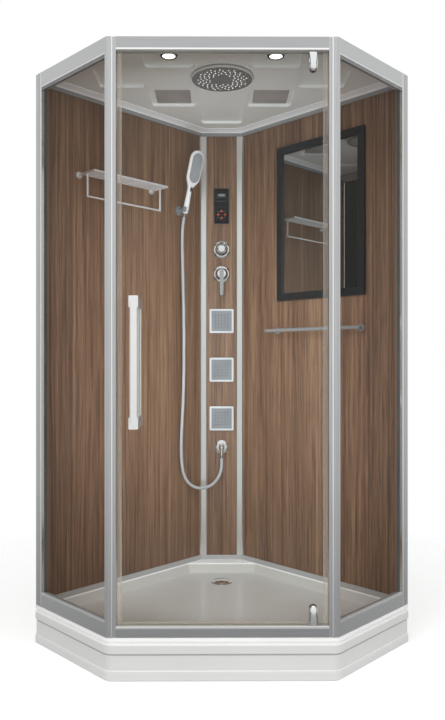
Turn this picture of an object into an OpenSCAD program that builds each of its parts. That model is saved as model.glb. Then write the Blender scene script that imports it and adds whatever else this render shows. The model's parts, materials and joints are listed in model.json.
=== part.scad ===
// Corner shower cabin: five-sided tray, aluminium frame, glass front, decor walls,
// service tower across the room corner and a moulded roof. Sizes in millimetres.

/* [Cabin] */
// Length of the tray along each room wall
side_len = 1000; // [940:10:1100]
// Width of each fixed glass side
glass_side = 450; // [400:10:480]
// Width of the service tower across the room corner
tower_w = 200; // [194:2:220]
// Height from the floor to the top of the frame
cabin_h = 2155; // [2120:5:2250]
// Thickness of the side glass and the door glass
glass_t = 6; // [5:0.5:8]

/* [Tray] */
// Height of the tray rim above the floor
tray_h = 150; // [140:5:200]
// Thickness of the tray rim
rim_t = 15; // [12:1:20]
// Thickness of the basin wall
basin_wall = 6; // [4:1:8]
// Depth of the basin below the rim, at its edge
basin_depth = 43; // [35:1:46]
// Radius of the two front corners of the tray
tray_corner_r = 50; // [30:5:70]
// Thickness of the moulded apron
apron_wall = 4; // [3:0.5:5]
// How far the middle band of the apron is set back
apron_step = 5; // [3:0.5:7]
// Radius of the drain hole
drain_hole_r = 44; // [40:1:46]
// Radius of the drain outlet pipe
drain_outlet_r = 20; // [16:1:20]

/* [Frame] */
// Depth of the aluminium profiles, front to back
profile_d = 32; // [30:1:36]
// Width of the posts at the room walls
wall_post_w = 41; // [38:1:46]
// Width of the front posts, from the corner to the door opening
jamb_w = 33; // [31:1:38]
// Height of the header above the door
header_h = 45; // [40:1:55]
// Height of the threshold under the door
threshold_h = 37; // [32:1:45]
// Height of the rails above the side glass
top_rail_h = 56; // [50:1:62]
// Height of the rails under the side glass
bottom_rail_h = 48; // [42:1:55]
// Height of the rails that hold the decor panels
panel_rail_h = 20; // [16:1:24]
// Thickness of the decor panels
panel_t = 8; // [6:1:9]

/* [Door] */
// Distance of the pivot axis from the edge of the opening
pivot_inset = 51; // [48:1:60]
// Radius of the pivot pins
pivot_r = 4; // [3:0.5:5]
// Length of the door handle
handle_len = 437; // [300:1:500]
// Height of the middle of the handle above the floor
handle_z = 1068; // [950:1:1150]
// Reach of the handle off the glass
handle_reach = 67; // [55:1:80]

/* [Tower fittings] */
// Distance of the middle of the control panel below the top of the frame
control_drop = 364; // [305:1:395]
// Distance of the diverter below the top of the frame
diverter_drop = 566; // [515:1:580]
// Distance of the mixer below the diverter
mixer_drop = 114; // [100:1:125]
// Distance of the highest body jet below the mixer
jet_drop = 218; // [195:1:245]
// Distance between two body jets
jet_pitch = 226; // [180:1:240]
// Width and height of a body jet
jet_w = 112; // [100:1:120]

/* [Wall fittings] */
// Length of the shelf along the wall
shelf_len = 378; // [300:1:420]
// Depth of the shelf off the wall
shelf_d = 112; // [90:1:130]
// Distance of the shelf below the top of the frame
shelf_drop = 346; // [300:1:380]
// Width of the mirror
mirror_w = 450; // [350:1:480]
// Height of the mirror
mirror_h = 672; // [500:1:700]
// Distance of the top of the mirror below the top of the frame
mirror_drop = 147; // [120:1:180]
// Distance of the hand shower's holder below the top of the frame
holder_drop = 407; // [400:1:420]
// Length of the towel bar
towel_len = 479; // [350:1:500]
// Distance of the towel bar off the wall
towel_reach = 55; // [45:1:70]

/* [Roof] */
// Radius of the rain head
rain_r = 117.5; // [90:0.5:125]
// Depth of the pockets in the ceiling
pocket_d = 10; // [6:1:12]

/* [Hidden] */

$fn = 48;
q = sqrt(2);
eps = 0.01;
// Running clearance of a shaft in its hole, and of a part that lifts out
run_gap = 0.05;
lift_gap = 0.3;

// The plan is a square with its front corner cut off by the door and its back
// corner cut off by the tower. y = 0 is the line through the two wall posts.
reach = side_len/q;
door_diag = (side_len - glass_side)/q;
front_y = -glass_side/q;
tower_half = tower_w/2;
tower_y = reach - tower_half;

// Insets from the tray outline
frame_in = 2.5;
panel_in = 2;
panel_face = panel_in + panel_t;
rail_in = 1;
rail_face = panel_face + 5;
glass_mid = frame_in + profile_d/2 - 1;

// Heights
rim_z = tray_h - rim_t;
floor_z = tray_h - basin_depth;
basin_low_z = floor_z - basin_wall - 4;
header_z = cabin_h - header_h;
top_rail_z = cabin_h - top_rail_h;
threshold_z = tray_h + threshold_h;
bottom_rail_z = tray_h + bottom_rail_h;
ceiling_z = cabin_h - 20;
panel_z0 = tray_h + panel_rail_h;
panel_z1 = ceiling_z - panel_rail_h;

// Drain
drain_from_tower = 193;
drain_y = tower_y - drain_from_tower;
drain_floor_z = floor_z - 4;
trap_low_z = 22;
drain_outlet_z = trap_low_z + drain_outlet_r + 4;
drain_outlet_len = 50;

// Door
jamb_x = door_diag - jamb_w;
door_y = front_y + glass_mid;
seal_w = 12;
door_half = jamb_x - seal_w;
door_z0 = threshold_z + 3;
door_z1 = header_z - 4;
pivot_x = jamb_x - pivot_inset;
clamp_w = 30;
clamp_t = 20;
clamp_h = 66;
notch_h = 22;
handle_x = -(door_half - 53);
grip_block = [31, 39];
grip_bar_w = 25;
grip_bar_t = 13;

// Tower
tower_face = tower_y - panel_face;
control_z = cabin_h - control_drop;
diverter_z = cabin_h - diverter_drop;
mixer_z = diverter_z - mixer_drop;
valve_depth = 30;
valve_back = 45;
valve_y = tower_face + valve_depth;
valve_r = 25;
inlet_depth = 54;
inlet_arm_r = 11;
pipe_r = 8;
pipe_x = 64;
stub_end = 32;
escutcheon_t = 9;
outlet_reach = 45;
jet_zs = [for (k = [0:2]) mixer_z - jet_drop - k*jet_pitch];
outlet_gap = 133;
outlet_z = jet_zs[2] - outlet_gap;
roof_pipe_z = cabin_h + 10;
elbow_r = 30;

// The origin is the bottom centre of the cabin, from the handle to the inlets
reach_front = door_y - glass_t/2 - handle_reach;
reach_back = tower_face + inlet_depth + inlet_arm_r;
y_shift = -(reach_front + reach_back)/2;

// Handset in its holder on the left wall, leaning off the wall
holder_from_tower = 282;
holder_u = side_len - holder_from_tower;
holder_z = cabin_h - holder_drop;
holder_reach = 45;
lean = 17;
cradle_r = 12.3;

// Roof fittings
rain_y = -31;
spot_x = 187;
spot_y = -208;
spot_r = 31;

// Route of the hose from the outlet down, round and up to the handset, by hand
HOSE_ROUTE = [[0, 552, 598], [-3, 551, 572], [-11, 549, 547], [-25, 544, 524],
  [-45, 537, 506], [-70, 529, 496], [-96, 520, 494], [-120, 511, 500], [-141, 501, 514],
  [-157, 492, 534], [-168, 485, 558], [-175, 480, 586], [-179, 477, 620],
  [-181, 475, 658], [-181, 474, 700], [-180, 474, 742], [-178, 474, 784],
  [-176, 474, 826], [-174, 474, 868], [-172, 474, 910], [-171, 474, 952],
  [-170, 475, 994], [-169, 475, 1036], [-169, 476, 1078], [-169, 476, 1120],
  [-169, 477, 1162], [-169, 478, 1204], [-170, 479, 1246], [-170, 479, 1288],
  [-171, 480, 1330], [-172, 481, 1372], [-173, 482, 1414], [-174, 483, 1456],
  [-175, 484, 1498], [-176, 485, 1540], [-177, 486, 1582], [-177, 486, 1624],
  [-176, 485, 1660], [-173, 481.5, 1689]];
hose_r = 7;

// Outline of the plan, inset from the walls, glass sides, front and tower
function plan(w, s, f, t) = [
  [-reach + (w + s)/q, (s - w)/q],
  [-door_diag + s*q - f, front_y + f],
  [door_diag - s*q + f, front_y + f],
  [reach - (w + s)/q, (s - w)/q],
  [tower_half + t - w*q, tower_y - t],
  [-(tower_half + t - w*q), tower_y - t]];

// A point at distance u along the left wall from its post, inset w
function wall_point(u, w) = [-reach + (u + w)/q, (u - w)/q];

// A point at distance v back from the front corner along the left side, inset s
function side_point(v, s) = [-door_diag + (s - v)/q, front_y + (s + v)/q];

function mirrored(points) = [for (p = points) [-p[0], p[1]]];

// A polygon with every corner rounded by n chords
function corner_arc(a, p, b, r, n) =
  let (u = (a - p)/norm(a - p), v = (b - p)/norm(b - p), half = acos(u*v)/2,
       c = p + (u + v)/norm(u + v)*r/sin(half), t0 = p + u*r/tan(half) - c,
       turn = sign(cross(p - a, b - p))*(180 - 2*half), a0 = atan2(t0[1], t0[0]))
  [for (k = [0:n]) c + r*[cos(a0 + turn*k/n), sin(a0 + turn*k/n)]];
function rounded(points, r, n = 6) =
  let (m = len(points))
  [for (i = [0:m - 1])
    each corner_arc(points[(i + m - 1)%m], points[i], points[(i + 1)%m], r, n)];
function rect(w, h) = [[-w/2, -h/2], [w/2, -h/2], [w/2, h/2], [-w/2, h/2]];
function rounded_rect(w, h, r, n = 5) = rounded(rect(w, h), r, n);

module placed() { translate([0, y_shift, 0]) children(); }
module both_hands() { children(); mirror([1, 0, 0]) children(); }
module prism(points, z0, z1) {
  translate([0, 0, z0]) linear_extrude(z1 - z0) polygon(points);
}
// x runs along the left wall from its post, -y points into the cabin
module on_left_wall() { translate([-reach, 0, 0]) rotate([0, 0, 45]) children(); }
module on_right_wall() { mirror([1, 0, 0]) on_left_wall() children(); }
// x runs along the left glass side from the wall, +y points into the cabin
module on_left_side() { translate([-reach, 0, 0]) rotate([0, 0, -45]) children(); }
// x is across the tower, y is up and z points into the cabin off the tower face
module on_tower(z) { translate([0, tower_face, z]) rotate([90, 0, 0]) children(); }
module rod_x(r, x0, x1) { translate([x0, 0, 0]) rotate([0, 90, 0]) cylinder(r = r, h = x1 - x0); }
module rod_y(r, y0, y1) { translate([0, y0, 0]) rotate([-90, 0, 0]) cylinder(r = r, h = y1 - y0); }

// The free faces from wall to wall as points with their outward directions; the front
// corners are arcs in steps, and the ends run past the walls by over
corner_steps = 6;
function free_faces(r, over) =
  let (c = plan(0, r, r, 0)[1],
       arc = [for (k = [0:corner_steps])
         let (a = -135 + 45*k/corner_steps, d = [cos(a), sin(a)]) [c + r*d, d]],
       half = concat([[side_point(glass_side + over, 0), [-1/q, -1/q]]], arc))
  concat(half, [for (i = [len(half) - 1:-1:0]) mirrored(half[i])]);
// A wall between two chains of points that pair up, swept round the free faces as one
// skin; x is outward from the outline and y is up
module front_sweep(outer, inner, r, over = 0) {
  n = len(outer);
  m = 2*n;
  stations = free_faces(r, over);
  far = (len(stations) - 1)*m;
  loop = concat(outer, [for (i = [n - 1:-1:0]) inner[i]]);
  points = [for (s = stations) for (p = loop)
    [s[0][0] + p[0]*s[1][0], s[0][1] + p[0]*s[1][1], p[1]]];
  skin = [for (j = [0:m:far - m]) for (i = [0:m - 1]) let (k = (i + 1)%m)
    each [[j + i, j + k, j + k + m], [j + i, j + k + m, j + i + m]]];
  cap = [for (i = [0:n - 2])
    each [[i, m - 1 - i, i + 1], [i + 1, m - 1 - i, m - 2 - i]]];
  far_cap = [for (f = cap) [far + f[0], far + f[2], far + f[1]]];
  polyhedron(points, concat(skin, cap, far_cap));
}
// The chain set in by a wall of w, square to it
function set_in(chain, w) =
  let (last = len(chain) - 1,
       side = [for (i = [0:last - 1]) let (d = chain[i + 1] - chain[i]) [-d[1], d[0]]/norm(d)])
  [for (i = [0:last]) let (a = side[max(i - 1, 0)], b = side[min(i, last - 1)])
    chain[i] + w*(a + b)/(1 + a*b)];

// Tray: rim with a rounded lip, and the basin with its falls to the drain
basin_in = [16, 38, 38, 73];
basin_slope = [14, 12, 12, 14];
function basin_plan(grow, slope) = rounded(plan(
  basin_in[0] - grow + slope*basin_slope[0], basin_in[1] - grow + slope*basin_slope[1],
  basin_in[2] - grow + slope*basin_slope[2], basin_in[3] - grow + slope*basin_slope[3]),
  26 + grow - 6*slope, 5);
module tray() {
  over = 5;
  lip = [[-3, 0], [-0.6, 2], [0, 5], [0, rim_t - 6], [-0.8, rim_t - 3], [-2.5, rim_t - 1],
    [-5, rim_t]];
  lip_root = [for (p = lip) [-14, p[1]]];
  placed() color("white") difference() {
    union() {
      translate([0, 0, rim_z]) front_sweep(lip, lip_root, tray_corner_r, over);
      prism(plan(-over, 13, 13, 0), rim_z, tray_h);
      hull() {
        prism(basin_plan(basin_wall, 0), rim_z - 1, rim_z + 1);
        prism(basin_plan(basin_wall, 1), basin_low_z, basin_low_z + 1);
      }
    }
    both_hands() on_left_wall() translate([-2*over, 0, rim_z - 1])
      cube([side_len + 4*over, 4*over, rim_t + 2]);
    prism(basin_plan(0, 0), tray_h - eps, tray_h + 1);
    hull() {
      prism(basin_plan(0, 0), tray_h - eps, tray_h);
      prism(basin_plan(0, 0.8), floor_z + 5, floor_z + 5 + eps);
    }
    hull() {
      prism(basin_plan(0, 0.8), floor_z + 5, floor_z + 5 + 2*eps);
      prism(basin_plan(0, 1.15), floor_z, floor_z + eps);
    }
    hull() {
      prism(basin_plan(0, 1.15), floor_z, floor_z + 2*eps);
      translate([0, drain_y, drain_floor_z]) cylinder(r = 60, h = eps, $fn = 32);
    }
    translate([0, drain_y, basin_low_z - 1]) cylinder(r = drain_hole_r, h = basin_wall + 20);
  }
}

// Apron: a moulded shell with three bands round the free faces
apron_gap = 2;
apron_toe = [8, 10];
apron_low_z = 41;
apron_mid_z = 96;
apron_high_z = rim_z - 5;
module apron() {
  s = apron_step;
  outer = [[-apron_toe[0], apron_gap], [-1, apron_toe[1] - 2], [0, apron_toe[1]],
    [0, apron_low_z - 4], [-s, apron_low_z + 1], [-s, apron_mid_z - 2], [-1, apron_mid_z],
    [0, apron_mid_z + 3], [0, apron_high_z - 10], [-1, apron_high_z - 5],
    [-3, apron_high_z - 2], [-6, apron_high_z], [-9, apron_high_z + 1], [-9, rim_z],
    [-24, rim_z]];
  placed() color("white") front_sweep(outer, set_in(outer, apron_wall), tray_corner_r);
}

// Steel base frame of welded bars on screw feet
bar_w = 25;
frame_insets = [70, 80, 80, 96];
frame_z1 = basin_low_z;
frame_z0 = frame_z1 - bar_w;
stud_r = 6;
function frame_plan(k) = plan(frame_insets[0] + k, frame_insets[1] + k,
  frame_insets[2] + k, frame_insets[3] + k);
cross_y = 60;
feet = concat(frame_plan(bar_w/2), [[0, cross_y]]);
module base_frame() {
  cross_half = reach - cross_y - frame_insets[0]*q - bar_w/2;
  placed() color("dimgray") difference() {
    union() {
      difference() {
        prism(frame_plan(0), frame_z0, frame_z1);
        prism(frame_plan(bar_w), frame_z0 - 1, frame_z1 + 1);
      }
      translate([-cross_half, cross_y - bar_w/2, frame_z0]) cube([2*cross_half, bar_w, bar_w]);
      translate([-bar_w/2, front_y + frame_insets[2] + bar_w/2, frame_z0])
        cube([bar_w, cross_y - front_y - frame_insets[2] - bar_w/2, bar_w]);
    }
    for (p = feet) translate([p[0], p[1], frame_z0 - 1])
      cylinder(r = stud_r + 0.2, h = bar_w + 2);
  }
}
module levelling_feet() {
  pad_r = 25;
  pad_h = 12;
  nut_h = 10;
  placed() for (p = feet) translate([p[0], p[1], 0]) {
    color("black") difference() {
      rotate_extrude() polygon([[0, 0], [pad_r, 0], [pad_r, 5], [12, pad_h], [0, pad_h]]);
      translate([0, 0, 4]) cylinder(r = stud_r, h = pad_h);
    }
    color("silver") translate([0, 0, 4]) cylinder(r = stud_r, h = frame_z1 - 8);
    color("silver") translate([0, 0, frame_z0 - nut_h]) difference() {
      cylinder(r = 10.5, h = nut_h, $fn = 6);
      translate([0, 0, -1]) cylinder(r = stud_r + 0.1, h = nut_h + 2);
    }
  }
}

// Drain: ring, trap with its side outlet, clamping nut and a cover that lifts out
flange_r = drain_hole_r + 3.5;
trap_r = drain_hole_r - 1;
trap_bore = trap_r - 5;
drain_shoulder = trap_r + 2;
module drain_trap() {
  placed() color("silver") translate([0, drain_y, 0]) {
    difference() {
      union() {
        translate([0, 0, trap_low_z]) cylinder(r = trap_r, h = drain_floor_z - trap_low_z);
        translate([0, 0, drain_floor_z]) rotate_extrude()
          polygon([[0, 0], [flange_r, 0], [flange_r, 0.8], [flange_r - 2.5, 2.6], [0, 2.6]]);
        translate([0, 0, drain_outlet_z]) {
          rod_y(drain_outlet_r + 3, 0, drain_shoulder);
          rod_y(drain_outlet_r, 0, drain_shoulder + drain_outlet_len);
        }
      }
      translate([0, 0, trap_low_z + 5]) cylinder(r = trap_bore, h = 200);
      translate([0, 0, drain_outlet_z])
        rod_y(drain_outlet_r - 3, 10, drain_shoulder + drain_outlet_len + 1);
    }
    difference() {
      translate([0, 0, basin_low_z - 8]) cylinder(r = trap_r + 9, h = 8);
      translate([0, 0, basin_low_z - 9]) cylinder(r = trap_r + 0.1, h = 10);
    }
  }
}
module drain_cover() {
  r = trap_bore - 5;
  placed() color("silver") translate([0, drain_y, 0]) {
    translate([0, 0, drain_floor_z]) rotate_extrude()
      polygon([[0, -1], [r - 1, -1], [r, 0], [r, 1], [r - 3, 3.4], [r*0.6, 5.2],
        [r*0.3, 6], [0, 6.2]]);
    translate([0, 0, trap_low_z + 5 + lift_gap]) {
      cylinder(r = 6, h = drain_floor_z - trap_low_z - 5 - lift_gap);
      cylinder(r = trap_bore - 6, h = 3);
    }
  }
}

// Decor panels of the two walls and of the tower
function wall_strip(u0, k0, k1) =
  [wall_point(u0, k0), wall_point(u0, k1), plan(k1, 0, 0, k1)[5], plan(k0, 0, 0, k0)[5]];
function tower_strip(k0, k1) =
  [plan(k0, 0, 0, k0)[5], plan(k1, 0, 0, k1)[5], plan(k1, 0, 0, k1)[4], plan(k0, 0, 0, k0)[4]];
panel_u = frame_in + profile_d;
module left_wall_panel() {
  placed() color("peru") prism(wall_strip(panel_u, panel_in, panel_face), panel_z0, panel_z1);
}
module right_wall_panel() {
  placed() color("peru")
    prism(mirrored(wall_strip(panel_u, panel_in, panel_face)), panel_z0, panel_z1);
}
control_size = [70, 165];
control_back = [60, 155];
jet_body_r = 19;
module tower_panel() {
  placed() color("peru") difference() {
    prism(tower_strip(panel_in, panel_face), panel_z0, panel_z1);
    on_tower(control_z) translate([0, 0, -panel_t - 1])
      linear_extrude(panel_t + 2) polygon(rect(control_back[0] + 1, control_back[1] + 1));
    for (z = [diverter_z, mixer_z]) on_tower(z)
      translate([0, 0, -panel_t - 1]) cylinder(r = valve_r + 0.5, h = panel_t + 2);
    for (z = jet_zs) on_tower(z)
      translate([0, 0, -panel_t - 1]) cylinder(r = jet_body_r + 0.5, h = panel_t + 2);
    on_tower(outlet_z) translate([0, 0, -panel_t - 1]) cylinder(r = 11.5, h = panel_t + 2);
  }
}

// Posts at the room walls: fluted face and a round rib towards the glass
module wall_post_shape() {
  flute = 1.2;
  rib_w = 12;
  rib_x = wall_post_w - 0.5 - rib_w/2;
  flutes = [for (x = [7, 14, 21]) each [[x - 1.2, frame_in], [x, frame_in + flute],
    [x + 1.2, frame_in]]];
  rib = [for (a = [180:-20:0]) [rib_x + rib_w/2*cos(a), frame_in - 2*sin(a)]];
  back = frame_in + profile_d;
  slot = [glass_mid - glass_t/2, glass_mid + glass_t/2];
  polygon(concat([[0.5, frame_in]], flutes, rib, [[wall_post_w, frame_in],
    [wall_post_w, slot[0]], [wall_post_w - 8, slot[0]], [wall_post_w - 8, slot[1]],
    [wall_post_w, slot[1]], [wall_post_w, back], [0.5, back]]));
}
module wall_post() {
  color("lightgray") on_left_side() translate([0, 0, tray_h])
    linear_extrude(cabin_h - tray_h) wall_post_shape();
}
module left_wall_post() { placed() wall_post(); }
module right_wall_post() { placed() mirror([1, 0, 0]) wall_post(); }

// Angle profiles over the joints between the walls and the tower
module tower_profiles() {
  proud = 3;
  width = 26;
  leg = 8;
  corner = plan(panel_face, 0, 0, panel_face)[5];
  nose = plan(panel_face + proud, 0, 0, panel_face + proud)[5];
  shape = [corner, [corner[0] + width, corner[1]], [corner[0] + width, corner[1] - proud + 1],
    [corner[0] + width - 2, nose[1]], nose, nose - [leg, leg]/q, corner - [leg + 2, leg + 2]/q];
  placed() color("lightgray") both_hands() prism(shape, panel_z0, panel_z1);
}

// Rails that hold the decor panels at the tray and under the roof
module rail_ring(shape_in, shape_out, z0, z1) {
  both_hands() prism(wall_strip(panel_u, shape_in, shape_out), z0, z1);
  prism(tower_strip(shape_in, shape_out), z0, z1);
}
module wall_rails() {
  placed() color("gainsboro") for (z = [tray_h, panel_z1])
    rail_ring(rail_in, rail_face, z, z + panel_rail_h);
}

// Front rails: header over the door and threshold under it, hollow profiles
module front_rail(shape, void) {
  placed() color("silver") difference() {
    translate([-jamb_x, 0, 0]) rotate([90, 0, 90]) linear_extrude(2*jamb_x) polygon(shape);
    translate([-jamb_x - 1, 0, 0]) rotate([90, 0, 90])
      linear_extrude(2*jamb_x + 2) polygon(void);
    translate([pivot_x, door_y, 0]) cylinder(r = pivot_r + 0.1, h = cabin_h + 1);
  }
}
rail_wall = 2.5;
lip_h = 7;
front_face = front_y + frame_in;
front_back = front_face + profile_d;
module front_header() {
  z0 = header_z;
  w = rail_wall;
  front_rail(
    [[front_face, cabin_h], [front_face, z0 + lip_h + 1], [front_face - 2, z0 + lip_h],
      [front_face - 2, z0 + 1], [front_face - 1, z0], [front_back, z0], [front_back, cabin_h]],
    [[front_face + w, cabin_h - w], [front_face + w, z0 + w], [front_back - w, z0 + w],
      [front_back - w, cabin_h - w]]);
}
module threshold_rail() {
  z1 = threshold_z;
  w = rail_wall;
  front_rail(
    [[front_face, tray_h], [front_face, z1 - lip_h - 1], [front_face - 2, z1 - lip_h],
      [front_face - 2, z1 - 1], [front_face - 1, z1], [front_back - 4, z1],
      [front_back, z1 - 6], [front_back, tray_h]],
    [[front_face + w, tray_h + w], [front_face + w, z1 - w], [front_back - 5, z1 - w],
      [front_back - w, z1 - 7], [front_back - w, tray_h + w]]);
}

// Rails under and over the side glass
corner_w = 10;
side_end = glass_side - corner_w;
module side_rail(z0, h, up) {
  slot_d = 12;
  slot = [glass_mid - glass_t/2 - 1, glass_mid + glass_t/2 + 1];
  y0 = frame_in;
  y1 = frame_in + profile_d;
  shape = [[y0, 0], [y1, 0], [y1, h - 2], [y1 - 2, h], [slot[1], h], [slot[1], h - slot_d],
    [slot[0], h - slot_d], [slot[0], h], [y0 + 1.5, h], [y0, h - 1.5]];
  color("lightgray") on_left_side() translate([wall_post_w, 0, z0])
    mirror([0, 0, up ? 0 : 1]) rotate([90, 0, 90])
      linear_extrude(side_end - wall_post_w) polygon(shape);
}
module side_bottom_rails() { placed() both_hands() side_rail(tray_h, bottom_rail_h, true); }
module side_top_rails() { placed() both_hands() side_rail(cabin_h, top_rail_h, false); }

// Front corner posts: a curved face, a rib, and the jamb of the door opening
strip_w = 8;
strip_t = 3;
module front_post_shape() {
  jx = -jamb_x;
  face_w = 17;
  start = [-door_diag + frame_in*(q - 1), front_face];
  bow = [for (k = [1:5]) [start[0] + face_w*k/6, front_face - 0.8*sin(180*k/6)]];
  rib_x = start[0] + face_w;
  glass = [glass_mid - glass_t/2, glass_mid + glass_t/2];
  polygon(concat([start], bow, [[rib_x, front_face], [rib_x + 0.5, front_face - 1.8],
    [rib_x + 4, front_face - 1.8], [rib_x + 4.5, front_face + 3],
    [rib_x + 8.5, front_face + 3], [rib_x + 9, front_face + 1], [jx, front_face + 1],
    [jx, door_y - strip_w/2], [jx - strip_t, door_y - strip_w/2],
    [jx - strip_t, door_y + strip_w/2], [jx, door_y + strip_w/2], [jx, front_back],
    side_point(corner_w, frame_in + profile_d), side_point(corner_w, glass[1]),
    side_point(corner_w - 7, glass[1]), side_point(corner_w - 7, glass[0]),
    side_point(corner_w, glass[0]), side_point(corner_w, frame_in)]));
}
module front_post() {
  color("gray") translate([0, 0, tray_h]) linear_extrude(cabin_h - tray_h) front_post_shape();
}
module left_front_post() { placed() front_post(); }
module right_front_post() { placed() mirror([1, 0, 0]) front_post(); }

// Fixed side glass with its gaskets
side_glass_z = [bottom_rail_z - 7, top_rail_z + 7];
module side_glass() {
  color("lightblue", 0.3) on_left_side() translate([wall_post_w - 7,
    glass_mid - glass_t/2, side_glass_z[0]])
    cube([side_end + 6 - wall_post_w + 7, glass_t, side_glass_z[1] - side_glass_z[0]]);
}
module left_side_glass() { placed() side_glass(); }
module right_side_glass() { placed() mirror([1, 0, 0]) side_glass(); }
module glass_gaskets() {
  proud = 5;
  placed() color("black") both_hands() on_left_side()
    for (s = [[bottom_rail_z - 10, bottom_rail_z + proud], [top_rail_z - proud, top_rail_z + 10]])
      difference() {
        translate([wall_post_w, glass_mid - glass_t/2 - 1, s[0]])
          cube([side_end - wall_post_w, glass_t + 2, s[1] - s[0]]);
        translate([wall_post_w - 1, glass_mid - glass_t/2, side_glass_z[0]])
          cube([side_end - wall_post_w + 2, glass_t, side_glass_z[1] - side_glass_z[0]]);
      }
}

// Pivot door: glass, clamps on fixed pins, seals and a pair of handles
module clamp_at(upper) {
  z = upper ? header_z - 0.6 : threshold_z + 0.6;
  translate([pivot_x, door_y, z]) mirror([0, 0, upper ? 1 : 0]) children();
}
handle_hole_z = [handle_z - handle_len/2 + grip_block[1]/2, handle_z + handle_len/2 - grip_block[1]/2];
module door_glass() {
  placed() color("lightblue", 0.3) difference() {
    translate([-door_half, door_y - glass_t/2, door_z0])
      cube([2*door_half, glass_t, door_z1 - door_z0]);
    for (upper = [true, false]) clamp_at(upper)
      translate([-clamp_w/2 - 0.5, -glass_t, -10]) cube([clamp_w + 1, 2*glass_t, notch_h + 10.5]);
    for (z = handle_hole_z) translate([handle_x, door_y, z]) rod_y(5, -glass_t, glass_t);
  }
}
module pivot_clamps() {
  placed() color("silver") for (upper = [true, false]) clamp_at(upper) difference() {
    union() {
      translate([-clamp_w/2, -clamp_t/2, 0]) cube([clamp_w, clamp_t, clamp_h - clamp_w/2]);
      translate([0, 0, clamp_h - clamp_w/2]) rod_y(clamp_w/2, -clamp_t/2, clamp_t/2);
    }
    translate([-clamp_w, -glass_t/2, notch_h]) cube([2*clamp_w, glass_t, clamp_h]);
    translate([0, 0, -1]) cylinder(r = pivot_r + run_gap, h = 17);
    for (z = [notch_h + 8, clamp_h - clamp_w/2]) translate([0, -clamp_t/2, z])
      rod_y(3.5, -1, 1.5);
  }
}
module pivot_pins() {
  head_r = 8;
  placed() color("gray") for (upper = [true, false])
    translate([pivot_x, door_y, upper ? header_z : threshold_z]) mirror([0, 0, upper ? 1 : 0]) {
      translate([0, 0, -rail_wall]) cylinder(r = pivot_r, h = rail_wall + 15.5);
      translate([0, 0, -rail_wall - 3.5]) cylinder(r = head_r, h = 3.5);
    }
}
module handle_shape() {
  block_t = handle_reach - 1;
  for (z = handle_hole_z) translate([0, 0, z]) difference() {
    translate([0, block_t, 0]) rotate([90, 0, 0])
      linear_extrude(block_t) polygon(rounded_rect(grip_block[0], grip_block[1], 3, 3));
    rod_y(3.05, -1, 20);
  }
  translate([0, handle_reach - grip_bar_t/2, handle_hole_z[0]])
    linear_extrude(handle_hole_z[1] - handle_hole_z[0])
      polygon(rounded_rect(grip_bar_w, grip_bar_t, 4, 4));
}
module outer_handle() {
  placed() color("silver") translate([handle_x, door_y - glass_t/2, 0])
    mirror([0, 1, 0]) union() handle_shape();
}
module inner_handle() {
  placed() color("silver") translate([handle_x, door_y + glass_t/2, 0])
    union() handle_shape();
}
module handle_screws() {
  placed() color("gray") for (z = handle_hole_z)
    translate([handle_x, door_y, z]) rod_y(3, -glass_t/2 - 18, glass_t/2 + 18);
}
module door_seals() {
  wide = 9;
  grip = 6;
  placed() color("whitesmoke", 0.6) for (hand = [-1, 1]) difference() {
    x_out = jamb_x - (hand < 0 ? 0.5 : 1.4);
    translate([hand < 0 ? -x_out : door_half - grip, door_y - wide/2, door_z0])
      cube([x_out - door_half + grip, wide, door_z1 - door_z0]);
    translate([-door_half, door_y - glass_t/2, door_z0 - 1])
      cube([2*door_half, glass_t, door_z1 - door_z0 + 2]);
  }
}
module jamb_strips() {
  placed() color("white") both_hands() translate([-jamb_x - strip_t, door_y - strip_w/2, tray_h])
    cube([strip_t, strip_w, cabin_h - tray_h]);
}
module bottom_sweep() {
  wide = 9;
  x1 = pivot_x - clamp_w/2 - 1;
  x0 = -door_half + 7;
  placed() color("whitesmoke", 0.6) difference() {
    translate([x0, door_y - wide/2, threshold_z + 1]) cube([x1 - x0, wide, 9.5]);
    translate([x0 - 1, door_y - glass_t/2, door_z0]) cube([x1 - x0 + 2, glass_t, 20]);
  }
}

// Roof: a moulded pan inside the frame, with pockets in the ceiling
roof_t = 6;
roof_z1 = ceiling_z + roof_t;
pocket_wall = 4;
spot_pocket = [178, 166, 192, -191];
outer_pocket = [180, 172, 383, -11];
cover_pocket = [181, 177, 196.5, 184.5];
back_pocket = [180, 186, 0, 388];
module pocket_form(p, grow, z0, z1) {
  for (hand = p[2] == 0 ? [1] : [-1, 1]) translate([hand*p[2], p[3], 0])
    prism(rounded_rect(p[0] + 2*grow, p[1] + 2*grow, 16 + grow), z0, z1);
}
module roof() {
  edge = 2;
  wall_border = 61;
  placed() color("whitesmoke") difference() {
    union() {
      prism(plan(rail_in, frame_in + profile_d, frame_in + profile_d, rail_in),
        ceiling_z, roof_z1);
      for (p = [spot_pocket, outer_pocket, cover_pocket, back_pocket])
        pocket_form(p, pocket_wall, roof_z1 - 1, ceiling_z + edge + pocket_d + pocket_wall);
    }
    prism(plan(wall_border, frame_in + profile_d + 14, frame_in + profile_d + 8, wall_border),
      ceiling_z - 1, ceiling_z + edge);
    for (p = [spot_pocket, outer_pocket, cover_pocket, back_pocket])
      pocket_form(p, 0, ceiling_z, ceiling_z + edge + pocket_d);
    translate([0, rain_y, ceiling_z - 1]) cylinder(r = rain_stem_r + 0.3, h = 20);
    both_hands() translate([spot_x, spot_y, ceiling_z])
      cylinder(r = 26.5, h = edge + pocket_d + pocket_wall + 1);
  }
}
rain_stem_r = 10;
rain_low_z = ceiling_z - 10;
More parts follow.
